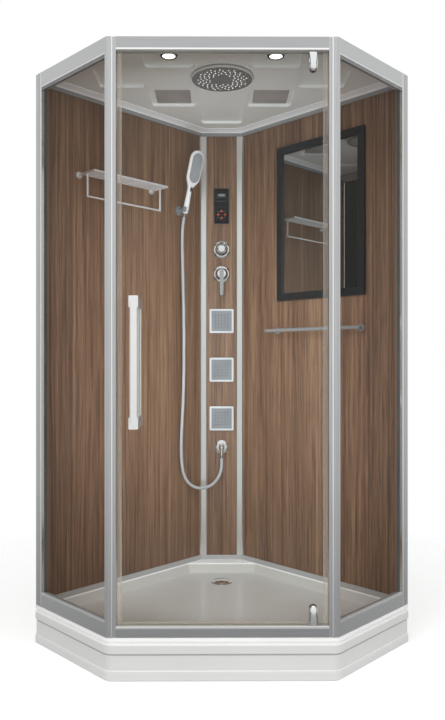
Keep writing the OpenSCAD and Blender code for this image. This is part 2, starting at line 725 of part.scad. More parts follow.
module rain_head() {
  plate_t = 8;
  hub_r = 30;
  nozzle_h = 1.6;
  rings = [for (k = [0:4]) [rain_r*(0.45 + 0.1*k), 12 + 3*k]];
  top = roof_pipe_z - rain_low_z;
  placed() color("slategray") translate([0, rain_y, rain_low_z]) {
    rotate_extrude($fn = 96) polygon([[0, 0], [rain_r - 3, 0], [rain_r - 0.8, 0.8],
      [rain_r, 2.5], [rain_r, plate_t - 2], [rain_r - 2, plate_t], [hub_r, plate_t],
      [hub_r - 8, plate_t + 4], [rain_stem_r, plate_t + 4], [rain_stem_r, top], [0, top]]);
    for (r = rings) for (k = [0:r[1] - 1]) rotate([0, 0, 360*(k + (r[1]%2)/2)/r[1]])
      translate([r[0], 0, -nozzle_h]) cylinder(r = 1.7, h = nozzle_h + 1, $fn = 6);
  }
}

// Spotlights in the front pockets
spot_seat = ceiling_z + 2 + pocket_d;
module spot_rings() {
  placed() color("silver") both_hands() translate([spot_x, spot_y, spot_seat])
    rotate_extrude() polygon([[24, -4], [spot_r - 2, -4], [spot_r, -2.5], [spot_r, 0],
      [26, 0], [26, 12], [24, 12]]);
}
module spot_lenses() {
  placed() color("white") both_hands() translate([spot_x, spot_y, spot_seat - 3])
    cylinder(r = 24, h = 6);
}
cover_plate = [141, 143];
module ceiling_covers() {
  placed() color("gray") for (hand = [-1, 1])
    translate([hand*cover_pocket[2], cover_pocket[3], 0]) difference() {
      prism(rounded_rect(cover_plate[0], cover_plate[1], 8), spot_seat - 3, spot_seat);
      prism(rounded_rect(cover_plate[0] - 14, cover_plate[1] - 14, 5), spot_seat - 4,
        spot_seat - 1.5);
    }
}

// Shelf rack on the left wall
shelf_z = cabin_h - shelf_drop;
shelf_u = 182;
tube_r = 5;
module shelf() {
  w0 = -panel_face;
  rail_drop = 93;
  hanger_p = 60;
  ends = [shelf_u + tube_r, shelf_u + shelf_len - tube_r];
  placed() color("silver") on_left_wall() {
    for (u = ends) translate([u, 0, shelf_z]) {
      rod_y(tube_r, w0 - shelf_d + tube_r, w0);
      rod_y(14, w0 - 4, w0);
      translate([0, w0 - hanger_p, -rail_drop]) cylinder(r = 4, h = rail_drop);
      translate([0, w0 - shelf_d + tube_r, 0]) sphere(r = tube_r);
    }
    for (k = [0:4]) translate([0, w0 - shelf_d + tube_r + k*(shelf_d - 28)/4, shelf_z])
      rod_x(k == 0 ? tube_r : 3, ends[0], ends[1]);
    translate([0, w0 - hanger_p, shelf_z - rail_drop]) rod_x(4, ends[0] - 4, ends[1] + 4);
  }
}

// Framed mirror on the right wall: mitred strips round the glass
mirror_u = 183;
mirror_z = cabin_h - mirror_drop - mirror_h;
mirror_border = 32;
mirror_t = 14;
module mirror_frame() {
  w = mirror_w;
  h = mirror_h;
  b = mirror_border;
  section = [[0, 0], [mirror_t, 0], [mirror_t, b - 4], [mirror_t - 3, b], [6, b], [6, b - 6],
    [0, b - 6]];
  module strip(len) {
    difference() {
      rotate([90, 0, 90]) linear_extrude(len) polygon([for (p = section) [-p[0], p[1]]]);
      translate([0, 1, 0]) rotate([90, -45, 0]) linear_extrude(mirror_t + 2)
        polygon([[0, 0], [0, 2*b], [-2*b, 2*b], [-2*b, 0]]);
      translate([len, 1, 0]) rotate([90, 45, 0]) linear_extrude(mirror_t + 2)
        polygon([[0, 0], [0, 2*b], [2*b, 2*b], [2*b, 0]]);
    }
  }
  placed() color("darkslategray") on_right_wall() translate([mirror_u, -panel_face, mirror_z]) {
    strip(w);
    translate([w, 0, h]) rotate([0, 180, 0]) strip(w);
    translate([0, 0, h]) rotate([0, 90, 0]) strip(h);
    translate([w, 0, 0]) rotate([0, -90, 0]) strip(h);
  }
}
module mirror_glass() {
  b = mirror_border - 6;
  placed() color("lightsteelblue") on_right_wall()
    translate([mirror_u + b, -panel_face - 6, mirror_z + b])
      cube([mirror_w - 2*b, 6, mirror_h - 2*b]);
}

// Towel bar on the right wall
towel_drop = 131;
towel_z = mirror_z - towel_drop;
towel_u = 180;
module towel_bar() {
  w0 = -panel_face;
  bar_r = 8;
  placed() color("silver") on_right_wall() {
    for (u = [towel_u + 22, towel_u + towel_len - 22]) translate([u, 0, towel_z]) {
      rod_y(7, w0 - towel_reach, w0);
      rod_y(16, w0 - 5, w0);
    }
    translate([0, w0 - towel_reach, towel_z]) {
      rod_x(bar_r, towel_u, towel_u + towel_len);
      for (u = [towel_u, towel_u + towel_len]) translate([u, 0, 0]) sphere(r = bar_r);
    }
  }
}

// Holder on the left wall; the cradle and the handset lean off the wall.
// In the cradle frame z is the axis of the handset and -y is its spray side.
module at_cradle() {
  on_left_wall() translate([holder_u, -panel_face - holder_reach, holder_z])
    rotate([lean, 0, 0]) children();
}
collar_r = cradle_r - lift_gap;
collar_z = [-16, 14];
module shower_holder() {
  ring_r = cradle_r + 5;
  ring_h = 24;
  ring_cut = 3*ring_h;
  mouth = 2*hose_r + 3;
  placed() color("silver") difference() {
    union() {
      on_left_wall() translate([holder_u, -panel_face, holder_z]) {
        rod_y(22, -6, 0);
        rod_y(9, -holder_reach + ring_r - 2, -4);
      }
      at_cradle() translate([0, 0, -ring_h/2]) cylinder(r = ring_r, h = ring_h);
    }
    at_cradle() translate([0, 0, -ring_cut/2]) cylinder(r = cradle_r, h = ring_cut);
    at_cradle() translate([-mouth/2, -2*ring_r, -ring_cut/2])
      cube([mouth, 2*ring_r, ring_cut]);
  }
}

// Handset: collar, slim handle and a long oval head with a spray plate
head_w = 75;
head_l = 150;
head_z = 184;
head_t = 22;
face_y = -15;
module oval(w, l, y0, y1) {
  for (s = [-1, 1]) translate([0, 0, head_z + s*(l - w)/2]) rod_y(w/2, y0, y1);
}
module handset() {
  placed() color("white") at_cradle() {
    difference() {
      union() {
        cylinder(r = collar_r, h = collar_z[1]);
        translate([0, 0, collar_z[0]]) cylinder(r = collar_r - 1, h = -collar_z[0]);
        hull() {
          translate([0, 0, 12.5]) cylinder(r = collar_r + 0.6, h = 3, $fn = 32);
          translate([0, 1, 100]) cylinder(r = 10.5, h = 2, $fn = 32);
        }
        hull() {
          translate([0, 1, 100]) cylinder(r = 10.5, h = 2, $fn = 32);
          translate([0, 1, head_z - head_l/2 + 8]) cylinder(r = 9, h = 14, $fn = 32);
        }
        hull() {
          oval(head_w, head_l, face_y, face_y + 10, $fn = 32);
          oval(head_w - 24, head_l - 24, face_y, face_y + head_t, $fn = 32);
        }
      }
      hull() oval(plate_w + 0.4, plate_l + 0.4, face_y - 1, face_y + 3, $fn = 48);
      translate([0, -8.5, button_z]) rod_y(4.3, -6, 1.8);
    }
  }
}
plate_w = head_w - 17;
plate_l = head_l - 22;
button_z = 92;
module spray_plate() {
  plate_t = 3.6;
  rows = [for (z = [-4:4]) for (x = [-2:2]) if (abs(x)*9 + abs(z)*3 < 26) [x*10, z*12]];
  placed() color("darkgray") at_cradle() {
    hull() oval(plate_w, plate_l, face_y + 3 - plate_t, face_y + 3, $fn = 48);
    for (p = rows) translate([p[0], 0, head_z + p[1]])
      rotate([90, 0, 0]) translate([0, 0, -face_y - 2])
        cylinder(r = 1.6, h = plate_t, $fn = 6);
  }
}
module spray_button() {
  placed() color("dimgray") at_cradle() translate([0, -8.5, button_z]) rod_y(4, -3.6, 0.2);
}

// Nuts at the two ends of the hose
nut_len = 14;
outlet_drop = 32;
handset_nut_len = 18;
module handset_hose_nut() {
  placed() color("silver") at_cradle() translate([0, 0, collar_z[0] - handset_nut_len])
    cylinder(r1 = 9, r2 = collar_r - 1, h = handset_nut_len);
}
module outlet_hose_nut() {
  placed() color("silver") on_tower(outlet_z) translate([0, 0, outlet_reach])
    rotate([90, 0, 0]) translate([0, 0, outlet_drop]) difference() {
      cylinder(r1 = 11, r2 = 9, h = nut_len);
      translate([0, 0, -1]) cylinder(r = 7.6, h = 11);
    }
}

// Hose: a ring of points round each point of the route, joined side by side. Its upper end
// stands just short of the nut, because both lean and their faces can't meet exactly.
hose_gap = 0.02;
handset_axis = [sin(lean)/q, -sin(lean)/q, cos(lean)];
cradle_point = concat(wall_point(holder_u, panel_face + holder_reach), [holder_z]);
HOSE = concat([[0, tower_face - outlet_reach, outlet_z - outlet_drop - nut_len]], HOSE_ROUTE,
  [cradle_point + (collar_z[0] - handset_nut_len - hose_gap)*handset_axis]);
function tangent(i) = let (n = len(HOSE), a = HOSE[max(i - 1, 0)], b = HOSE[min(i + 1, n - 1)])
  (b - a)/norm(b - a);
function hose_ring(i, sides) =
  let (t = i == 0 ? [0, 0, -1] : i == len(HOSE) - 1 ? handset_axis : tangent(i),
       u = cross(t, [0.6, 0.8, 0])/norm(cross(t, [0.6, 0.8, 0])), v = cross(t, u))
  [for (k = [0:sides - 1]) HOSE[i] + hose_r*(u*cos(360*k/sides) + v*sin(360*k/sides))];
module hose() {
  sides = 10;
  n = len(HOSE);
  points = [for (i = [0:n - 1]) each hose_ring(i, sides)];
  sides_faces = [for (i = [0:n - 2]) for (k = [0:sides - 1])
    each [[i*sides + k, (i + 1)*sides + k, (i + 1)*sides + (k + 1)%sides],
      [i*sides + k, (i + 1)*sides + (k + 1)%sides, i*sides + (k + 1)%sides]]];
  caps = [[for (k = [0:sides - 1]) k], [for (k = [sides - 1:-1:0]) (n - 1)*sides + k]];
  placed() color("silver") polyhedron(points, concat(sides_faces, caps));
}

// Hose outlet on the tower
module escutcheon(r, t) {
  rotate_extrude() polygon([[0, 0], [r, 0], [r, 2], [r - 2, t*0.55], [r - 7, t*0.85],
    [r - 13, t], [0, t]]);
}
module outlet_elbow() {
  placed() color("silver") on_tower(outlet_z) {
    escutcheon(33, 8);
    translate([0, 0, -valve_depth - 8]) cylinder(r = 11, h = outlet_reach + valve_depth + 8);
    translate([0, 0, outlet_reach]) {
      sphere(r = 14);
      rotate([90, 0, 0]) cylinder(r = 9, h = outlet_drop);
      rotate([90, 0, 0]) cylinder(r = 7.5, h = outlet_drop + 9);
    }
    translate([0, 0, -valve_depth]) rod_x(10, 0, stub_end);
  }
}

// Body jets: square frames with a spray plate each
module jet_frames() {
  t = 12;
  plate = jet_w - 18;
  placed() color("gainsboro") for (z = jet_zs) on_tower(z) {
    difference() {
      union() {
        linear_extrude(t - 3) polygon(rounded_rect(jet_w, jet_w, 5, 3));
        translate([0, 0, t - 3]) linear_extrude(3)
          polygon(rounded_rect(jet_w - 5, jet_w - 5, 4, 3));
      }
      translate([0, 0, 7]) linear_extrude(t) polygon(rect(plate, plate));
    }
    translate([0, 0, -valve_depth - 8]) cylinder(r = jet_body_r, h = valve_depth + 9);
    translate([0, 0, -valve_depth]) rod_x(10, -stub_end, 0);
  }
}
module jet_plates() {
  plate = jet_w - 18;
  pitch = 14;
  placed() color("darkgray") for (z = jet_zs) on_tower(z) translate([0, 0, 7]) {
    linear_extrude(3.5) polygon(rounded_rect(plate - 0.4, plate - 0.4, 2, 2));
    for (i = [-2:2]) for (j = [-2:2]) translate([i*pitch, j*pitch, 3])
      cylinder(r = 1.8, h = 1.8, $fn = 6);
  }
}

// Mixer: valve body with two inlets that hang behind the pipes, a cap that turns and a
// lever that lifts
inlet_r = 10.48;
inlet_x = 34;
inlet_len = 50;
inlet_thread = 15;
cap_r = 22;
cap_z = [escutcheon_t + 0.4, 36];
lever_pin = [10, 33];
module mixer_body() {
  placed() color("silver") on_tower(mixer_z) {
    escutcheon(41, escutcheon_t);
    translate([0, 0, -valve_back]) cylinder(r = valve_r, h = valve_back + 1);
    translate([0, 0, 5]) cylinder(r = 8, h = 19);
    translate([0, 0, -valve_depth]) {
      rod_x(inlet_arm_r, -inlet_x, inlet_x);
      for (s = [-1, 1]) translate([s*inlet_x, 0, 0]) sphere(r = inlet_arm_r);
      rod_y(10, 0, valve_r + 7);
    }
    for (s = [-1, 1]) translate([s*inlet_x, 0, -inlet_depth]) {
      cylinder(r = inlet_arm_r, h = inlet_depth - valve_depth);
      sphere(r = inlet_arm_r);
      rod_y(inlet_arm_r, inlet_thread - inlet_len, 0);
      rod_y(inlet_r, -inlet_len, 0);
    }
  }
}
module mixer_cap() {
  placed() color("silver") on_tower(mixer_z) difference() {
    rotate_extrude() polygon([[0, cap_z[0]], [cap_r, cap_z[0]], [cap_r, cap_z[1] - 3],
      [cap_r - 3, cap_z[1]], [0, cap_z[1]]]);
    cylinder(r = 8 + run_gap, h = 24.3);
    translate([-6.5, 1.5, 26]) cube([13, 30, 20]);
    translate([0, lever_pin[0], lever_pin[1]]) rod_x(2.5 + run_gap, -14.2, 14.2);
  }
}
module mixer_lever() {
  width = 20;
  front = [41, 50];
  length = 102;
  placed() color("silver") on_tower(mixer_z) {
    translate([0, lever_pin[0], lever_pin[1]]) {
      rod_x(6, -6, 6);
      rod_x(2.5, -14, 14);
    }
    translate([-6, lever_pin[0] - 6, lever_pin[1]]) cube([12, 12, front[0] + 1 - lever_pin[1]]);
    translate([0, 0, front[0]]) linear_extrude(front[1] - front[0])
      polygon(rounded([[-width/2, 22], [width/2, 22], [width/2 - 2, -length],
        [-width/2 + 2, -length]], 7, 5));
  }
}
module diverter_body() {
  placed() color("silver") on_tower(diverter_z) {
    escutcheon(42, escutcheon_t);
    translate([0, 0, -valve_back]) cylinder(r = valve_r, h = valve_back + 1);
    translate([0, 0, 5]) cylinder(r = 6, h = 25);
    translate([0, 0, -valve_depth]) {
      rod_x(10, -stub_end, stub_end);
      rod_y(10, -valve_r - 7, valve_r + 7);
    }
  }
}
module diverter_knob() {
  knob_r = 23.5;
  z0 = escutcheon_t + 0.4;
  placed() color("silver") on_tower(diverter_z) difference() {
    rotate_extrude() polygon([[0, z0], [knob_r, z0], [knob_r, 33], [knob_r - 3, 38],
      [knob_r - 9, 40], [0, 40.5]]);
    cylinder(r = 6 + run_gap, h = 30.3);
    for (k = [0:11]) rotate([0, 0, 30*k]) translate([knob_r + 1.2, 0, z0 + 8])
      cylinder(r = 2.2, h = 40);
  }
}

// Control panel: housing through the tower panel, glass front and a ring key
key_r = 21;
key_y = -39;
module control_housing() {
  glass = [control_size[0] - 6, control_size[1] - 6];
  placed() color("black") on_tower(control_z) difference() {
    union() {
      linear_extrude(4) polygon(rounded_rect(control_size[0], control_size[1], 4, 4));
      translate([0, 0, -22]) linear_extrude(23) polygon(rect(control_back[0], control_back[1]));
    }
    translate([0, 0, 2]) linear_extrude(4) polygon(rounded_rect(glass[0], glass[1], 2, 3));
    translate([0, key_y, 0]) cylinder(r = key_r + 0.6, h = 5);
  }
}
module control_glass() {
  glass = [control_size[0] - 6, control_size[1] - 6];
  placed() color("black") on_tower(control_z) difference() {
    translate([0, 0, 2]) linear_extrude(2.2) polygon(rounded_rect(glass[0], glass[1], 2, 3));
    translate([0, key_y, 0]) cylinder(r = key_r + 0.5, h = 5);
  }
}
module ring_key() {
  placed() color("dimgray") on_tower(control_z) translate([0, key_y, 0])
    rotate_extrude($fn = 64) polygon([[0, 1], [key_r, 1], [key_r, 4.4], [key_r - 1, 5],
      [12, 5], [11, 4.2], [0, 4.2]]);
}

// Pipes behind the tower: mixer to diverter, riser to the rain head, jets and hose
module water_pipes() {
  up = valve_r + 7;
  block_r = 15;
  placed() color("silver") {
    translate([0, valve_y, mixer_z + up]) cylinder(r = pipe_r, h = diverter_z - mixer_z - 2*up);
    difference() {
      union() {
        translate([0, valve_y, diverter_z + up])
          cylinder(r = pipe_r, h = roof_pipe_z - elbow_r - diverter_z - up);
        translate([0, valve_y - elbow_r, roof_pipe_z - elbow_r]) rotate([90, 0, 90])
          rotate_extrude(angle = 90) translate([elbow_r, 0]) circle(r = pipe_r);
        translate([0, 0, roof_pipe_z]) rod_y(pipe_r, rain_y, valve_y - elbow_r);
        translate([0, rain_y, roof_z1]) cylinder(r = block_r, h = roof_pipe_z + 14 - roof_z1);
      }
      translate([0, rain_y, roof_z1 - 1])
        cylinder(r = rain_stem_r + 0.1, h = roof_pipe_z + 1.1 - roof_z1);
    }
    for (branch = [[-1, jet_zs], [1, [outlet_z]]]) {
      low = min(branch[1]);
      translate([branch[0]*pipe_x, valve_y, low]) {
        cylinder(r = pipe_r, h = diverter_z - low);
        sphere(r = pipe_r);
        translate([0, 0, diverter_z - low]) sphere(r = pipe_r);
      }
      for (z = concat(branch[1], [diverter_z])) translate([0, valve_y, z])
        mirror([branch[0] > 0 ? 0 : 1, 0, 0]) rod_x(pipe_r, stub_end, pipe_x);
    }
  }
}

tray();
apron();
base_frame();
levelling_feet();
drain_trap();
drain_cover();
left_wall_panel();
right_wall_panel();
tower_panel();
left_wall_post();
right_wall_post();
tower_profiles();
wall_rails();
threshold_rail();
front_header();
side_bottom_rails();
side_top_rails();
left_front_post();
right_front_post();
left_side_glass();
right_side_glass();
glass_gaskets();
door_glass();
outer_handle();
inner_handle();
handle_screws();
pivot_clamps();
pivot_pins();
door_seals();
jamb_strips();
bottom_sweep();
roof();
rain_head();
spot_rings();
spot_lenses();
ceiling_covers();
shelf();
mirror_frame();
mirror_glass();
towel_bar();
shower_holder();
handset();
spray_plate();
spray_button();
hose();
handset_hose_nut();
outlet_hose_nut();
outlet_elbow();
jet_frames();
jet_plates();
mixer_body();
mixer_cap();
mixer_lever();
diverter_body();
diverter_knob();
control_housing();
control_glass();
ring_key();
water_pipes();
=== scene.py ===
"""Looks of the corner shower cabin: finishes for the CAD pieces, smoother and fuller pieces
over some of them, the hose, and a plain studio. Lengths are metres in the row's frame."""

import json
import math

import bmesh
import bpy
from mathutils import Matrix, Vector


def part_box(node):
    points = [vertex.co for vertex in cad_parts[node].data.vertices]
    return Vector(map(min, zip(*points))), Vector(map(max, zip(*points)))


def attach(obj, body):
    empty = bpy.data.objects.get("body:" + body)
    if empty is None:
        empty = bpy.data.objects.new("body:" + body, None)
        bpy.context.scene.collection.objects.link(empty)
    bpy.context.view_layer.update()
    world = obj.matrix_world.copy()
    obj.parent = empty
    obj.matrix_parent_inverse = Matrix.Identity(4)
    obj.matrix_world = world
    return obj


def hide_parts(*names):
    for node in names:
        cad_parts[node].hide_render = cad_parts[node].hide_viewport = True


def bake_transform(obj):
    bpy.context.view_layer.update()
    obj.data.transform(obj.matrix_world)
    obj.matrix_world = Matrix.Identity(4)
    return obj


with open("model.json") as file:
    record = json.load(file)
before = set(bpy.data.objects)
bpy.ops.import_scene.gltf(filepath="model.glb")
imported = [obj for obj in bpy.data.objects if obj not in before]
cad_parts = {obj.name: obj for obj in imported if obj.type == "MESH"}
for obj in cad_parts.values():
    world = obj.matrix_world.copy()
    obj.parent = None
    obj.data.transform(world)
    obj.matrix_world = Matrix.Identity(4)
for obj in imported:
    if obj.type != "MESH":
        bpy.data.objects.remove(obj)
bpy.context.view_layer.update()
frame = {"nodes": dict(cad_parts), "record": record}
scene = bpy.context.scene

MM = 0.001
ROOT2 = math.sqrt(2)

# The plan of the cabin, read off the frame
TRAY_LOW, TRAY_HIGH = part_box("tray")
REACH = TRAY_HIGH.x
TOWER_HALF = 0.1
WALL_Y = TRAY_HIGH.y - REACH + TOWER_HALF
TOWER_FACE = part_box("tower_panel")[0].y
RIM_Z = TRAY_HIGH.z
FRONT_Y = TRAY_LOW.y
# half the width of the door front
DOOR_HALF = REACH - WALL_Y + FRONT_Y

# The fittings' heights
JET_ZS = (1257 * MM, 1031 * MM, 805 * MM)
CONTROL_Z = 1791 * MM
DIVERTER_Z = 1589 * MM
MIXER_Z = 1475 * MM


def moved(x, y, z):
    return Matrix.Translation((x, y, z))


def about(axis, degrees):
    return Matrix.Rotation(math.radians(degrees), 4, axis)


# Frames that pieces are made in
MIRRORED = Matrix.Scale(-1, 4, (1, 0, 0))
UPSIDE_DOWN = about("X", 180)
FORWARD = about("X", 90)
# x is across the tower, y is up and z points off its face into the cabin
ON_TOWER = moved(0, TOWER_FACE, 0) @ FORWARD
# the left wall's post; from it x runs along the wall, and -y points into the cabin
LEFT_POST = moved(-REACH, WALL_Y, 0)
ON_LEFT_WALL = LEFT_POST @ about("Z", 45)
# z is the hand shower's axis, which leans off the left wall, and -y is its spray side
CRADLE = ON_LEFT_WALL @ moved(718 * MM, -55 * MM, 1748 * MM) @ about("X", 17)

# The camera that the photograph's vanishing points give
camera_data = bpy.data.cameras.new("photo_view")
camera_data.lens = 34.58
camera = bpy.data.objects.new("photo_view", camera_data)
camera.location = (-0.0113, -2.7677, 1.076)
camera.rotation_euler = (math.radians(90), 0, math.radians(-0.277))
scene.collection.objects.link(camera)
scene.camera = camera


# Node helpers

def linear(code, alpha=1.0):
    """The linear colour of an sRGB hex code."""
    parts = [int(code[i:i + 2], 16) / 255 for i in (1, 3, 5)]
    return [c / 12.92 if c <= 0.04045 else ((c + 0.055) / 1.055) ** 2.4 for c in parts] + [alpha]


WHITE = linear("#ffffff")


def add(tree, kind, sockets=None, **settings):
    """A new node; each of its sockets gets a value, or a link where another socket is given."""
    made = tree.nodes.new("ShaderNode" + kind)
    for name, value in settings.items():
        setattr(made, name, value)
    for key, value in (sockets or {}).items():
        if isinstance(value, bpy.types.NodeSocket):
            tree.links.new(value, made.inputs[key])
        else:
            made.inputs[key].default_value = value
    return made


def new_finish(name, **sockets):
    """A material with one Principled shader, whose socket names are given with underscores."""
    material = bpy.data.materials.new(name)
    material.use_nodes = True
    tree = material.node_tree
    shader = tree.nodes["Principled BSDF"]
    for key, value in sockets.items():
        shader.inputs[key.replace("_", " ")].default_value = value
    return material, tree, shader


def position(tree, scale=(1, 1, 1), turn=0.0):
    """Where a point is on the part, turned about the vertical and scaled along each axis."""
    place = add(tree, "TexCoord").outputs["Object"]
    turned = add(tree, "VectorRotate", {"Vector": place, "Angle": math.radians(-turn)},
                 rotation_type="Z_AXIS").outputs[0]
    return add(tree, "VectorMath", {0: turned, 1: scale}, operation="MULTIPLY").outputs[0]


def noise(tree, vector, scale, detail=3.0, roughness=0.5):
    return add(tree, "TexNoise", {"Vector": vector, "Scale": scale, "Detail": detail,
                                  "Roughness": roughness}).outputs["Fac"]


def ramp(tree, factor, stops):
    """A colour ramp of (place, hex code) stops."""
    made = add(tree, "ValToRGB", {"Fac": factor})
    points = made.color_ramp.elements
    points[0].position, points[0].color = stops[0][0], linear(stops[0][1])
    points[1].position, points[1].color = stops[-1][0], linear(stops[-1][1])
    for place, code in stops[1:-1]:
        points.new(place).color = linear(code)
    return made.outputs["Color"]


def two_tone(tree, factor, dark, light):
    """The usual soft change between two close tones."""
    return ramp(tree, factor, [(0.35, dark), (0.65, light)])


def spread(tree, value, low, high, from_low=0.3, from_high=0.7):
    """A value brought from one range to another, and kept in it."""
    return add(tree, "MapRange", {"Value": value, "From Min": from_low, "From Max": from_high,
                                  "To Min": low, "To Max": high}).outputs["Result"]


def calc(tree, operation, a, b=0.0):
    return add(tree, "Math", {0: a, 1: b}, operation=operation).outputs[0]


def coordinate(tree, vector, axis):
    return add(tree, "SeparateXYZ", {0: vector}).outputs[axis]


def mixed(tree, factor, a, b, blend="MIX"):
    """One colour over another; each is a socket or a linear colour."""
    return add(tree, "Mix", {0: factor, 6: a, 7: b}, data_type="RGBA",
               blend_type=blend).outputs[2]


def overlaid(tree, share, a, b):
    """One shader over another."""
    return add(tree, "MixShader", {0: share, 1: a.outputs[0], 2: b.outputs[0]})


def bumped(tree, shader, height, strength, depth):
    bump = add(tree, "Bump", {"Height": height, "Strength": strength, "Distance": depth})
    tree.links.new(bump.outputs["Normal"], shader.inputs["Normal"])


def surfaced(tree, shader, tone, rough):
    """Gives a shader its colour and its roughness."""
    tree.links.new(tone, shader.inputs["Base Color"])
    tree.links.new(rough, shader.inputs["Roughness"])


def with_painted_glow(material, code, strength):
    """The same finish with a painted glow: light of its own, though the part is no lamp."""
    shader = material.node_tree.nodes["Principled BSDF"]
    shader.inputs["Emission Color"].default_value = linear(code)
    shader.inputs["Emission Strength"].default_value = strength
    return material


# Finishes

# scales that draw brushing out along an axis, and how fine the brushing is across it
LEVEL_STREAK = (0.004, 1, 1)
UPRIGHT_STREAK = (1, 1, 0.004)
BRUSHING = 1500


def brushed_metal(name, light, dark, rough, streak=UPRIGHT_STREAK):
    """Anodised or brushed metal, with fine streaks along the axis whose scale is small."""
    material, tree, shader = new_finish(name, Metallic=1.0)
    lines = noise(tree, position(tree, streak), BRUSHING, 4, 0.6)
    clouds = noise(tree, position(tree), 5, 2)
    both = calc(tree, "ADD", calc(tree, "MULTIPLY", lines, 0.6),
                calc(tree, "MULTIPLY", clouds, 0.4))
    surfaced(tree, shader, two_tone(tree, both, dark, light),
             spread(tree, lines, rough - 0.06, rough + 0.08))
    bumped(tree, shader, lines, 0.05, 0.1 * MM)
    return material


def polished_metal(name, code, rough=0.06, vary=0.6):
    """Chrome plating: a mirror with faint wiping marks and water film."""
    material, tree, shader = new_finish(name, Base_Color=linear(code), Metallic=1.0)
    smears = noise(tree, position(tree, (1, 1, 0.4)), 45, 5, 0.65)
    tree.links.new(spread(tree, smears, rough * (1 - vary), rough * (1 + vary)),
                   shader.inputs["Roughness"])
    return material


def moulded(name, light, dark, rough, coat=0.0, grain=350, depth=0.02 * MM, shine=0.5):
    """Moulded or cast plastic with a soft change of tone and a faint moulded texture."""
    material, tree, shader = new_finish(name, Coat_Weight=coat, Coat_Roughness=0.06,
                                        Specular_IOR_Level=shine)
    clouds = noise(tree, position(tree), 7, 3, 0.55)
    surfaced(tree, shader, two_tone(tree, clouds, dark, light),
             spread(tree, noise(tree, position(tree), 24, 4), rough - 0.015, rough + 0.015))
    bumped(tree, shader, noise(tree, position(tree), grain, 2), 0.08, depth)
    return material


def walnut_decor(name, turn, joints, back):
    """Walnut decor: upright grain in three sizes, pores, and dark joints between boards. turn is
    the wall's direction in degrees, joints are distances along it from the origin, and past the
    distance back across it the board is its plain core."""
    material, tree, shader = new_finish(name, Coat_Weight=0.12, Coat_Roughness=0.25)
    drift = calc(tree, "MULTIPLY", noise(tree, position(tree, (1, 1, 0.35)), 5, 2), 0.012)
    bend = add(tree, "CombineXYZ", {0: drift, 1: drift}).outputs[0]
    bent = add(tree, "VectorMath", {0: position(tree, (1, 1, 0.012)), 1: bend},
               operation="ADD").outputs[0]
    broad = noise(tree, bent, 16, 2, 0.5)
    bands = noise(tree, bent, 110, 4, 0.6)
    fine = noise(tree, bent, 520, 3, 0.7)
    parts = [calc(tree, "MULTIPLY", value, share)
             for value, share in ((broad, 0.20), (bands, 0.44), (fine, 0.36))]
    grain = calc(tree, "ADD", parts[0], calc(tree, "ADD", parts[1], parts[2]))
    tone = ramp(tree, grain, [(0.36, "#4a3628"), (0.44, "#654b38"), (0.50, "#785b45"),
                              (0.56, "#8a6c54"), (0.66, "#a38468")])
    # pores are 0.3 mm wide, and drawn as lines of 3 mm, which is as fine as the view shows
    pores = noise(tree, bent, 330, 2, 0.5)
    tone = mixed(tree, spread(tree, pores, 0.62, 0.0, 0.33, 0.42), tone, linear("#33241b"))
    height = grain
    split = add(tree, "SeparateXYZ", {0: position(tree, turn=turn)})
    if joints:
        gap = 0.0
        for joint in joints:
            away = calc(tree, "ABSOLUTE", calc(tree, "SUBTRACT", split.outputs["X"], joint))
            gap = calc(tree, "MAXIMUM", gap, spread(tree, away, 1.0, 0.0, 0.4 * MM, 1.4 * MM))
        tone = mixed(tree, calc(tree, "MULTIPLY", gap, 0.7), tone, linear("#2b1d15"))
        height = calc(tree, "SUBTRACT", grain, gap)
    core = two_tone(tree, noise(tree, position(tree), 30, 4, 0.6), "#8d8171", "#a19585")
    tone = mixed(tree, spread(tree, split.outputs["Y"], 0.0, 1.0, back, back + 0.5 * MM), tone,
                 core)
    surfaced(tree, shader, tone, spread(tree, bands, 0.40, 0.56))
    bumped(tree, shader, height, 0.2, 0.3 * MM)
    return material


def clear_pane(name, tint, gloss=0.02, milk=0.0, mirror=0.5):
    """Glass or clear plastic thin enough not to bend what is seen through it, with a share of
    milky haze, and of reflection where it is seen edgewise."""
    material, tree, shader = new_finish(name)
    tree.nodes.remove(shader)
    film = noise(tree, position(tree), 9, 4, 0.6)
    clear = add(tree, "BsdfTransparent", {"Color": linear(tint)})
    if milk:
        haze = add(tree, "BsdfDiffuse", {"Color": linear("#f2ece6")})
        clear = overlaid(tree, milk, clear, haze)
    shine = add(tree, "BsdfGlossy", {"Color": linear("#f4f8f8"),
                                     "Roughness": spread(tree, film, gloss, gloss + 0.05)})
    facing = add(tree, "LayerWeight", {"Blend": 0.5}).outputs["Facing"]
    share = add(tree, "Math", {0: calc(tree, "POWER", facing, 5.0), 1: mirror, 2: mirror / 50},
                operation="MULTIPLY_ADD").outputs[0]
    both = overlaid(tree, share, clear, shine)
    tree.links.new(both.outputs[0], tree.nodes["Material Output"].inputs["Surface"])
    return material


def matt_metal(name, light, dark, rough):
    """Dark plated sheet with a soft sheen and no clear reflections."""
    material, tree, shader = new_finish(name, Metallic=0.55)
    clouds = noise(tree, position(tree), 16, 3, 0.5)
    surfaced(tree, shader, two_tone(tree, clouds, dark, light),
             spread(tree, noise(tree, position(tree), 60, 3), rough - 0.05, rough + 0.05))
    return material


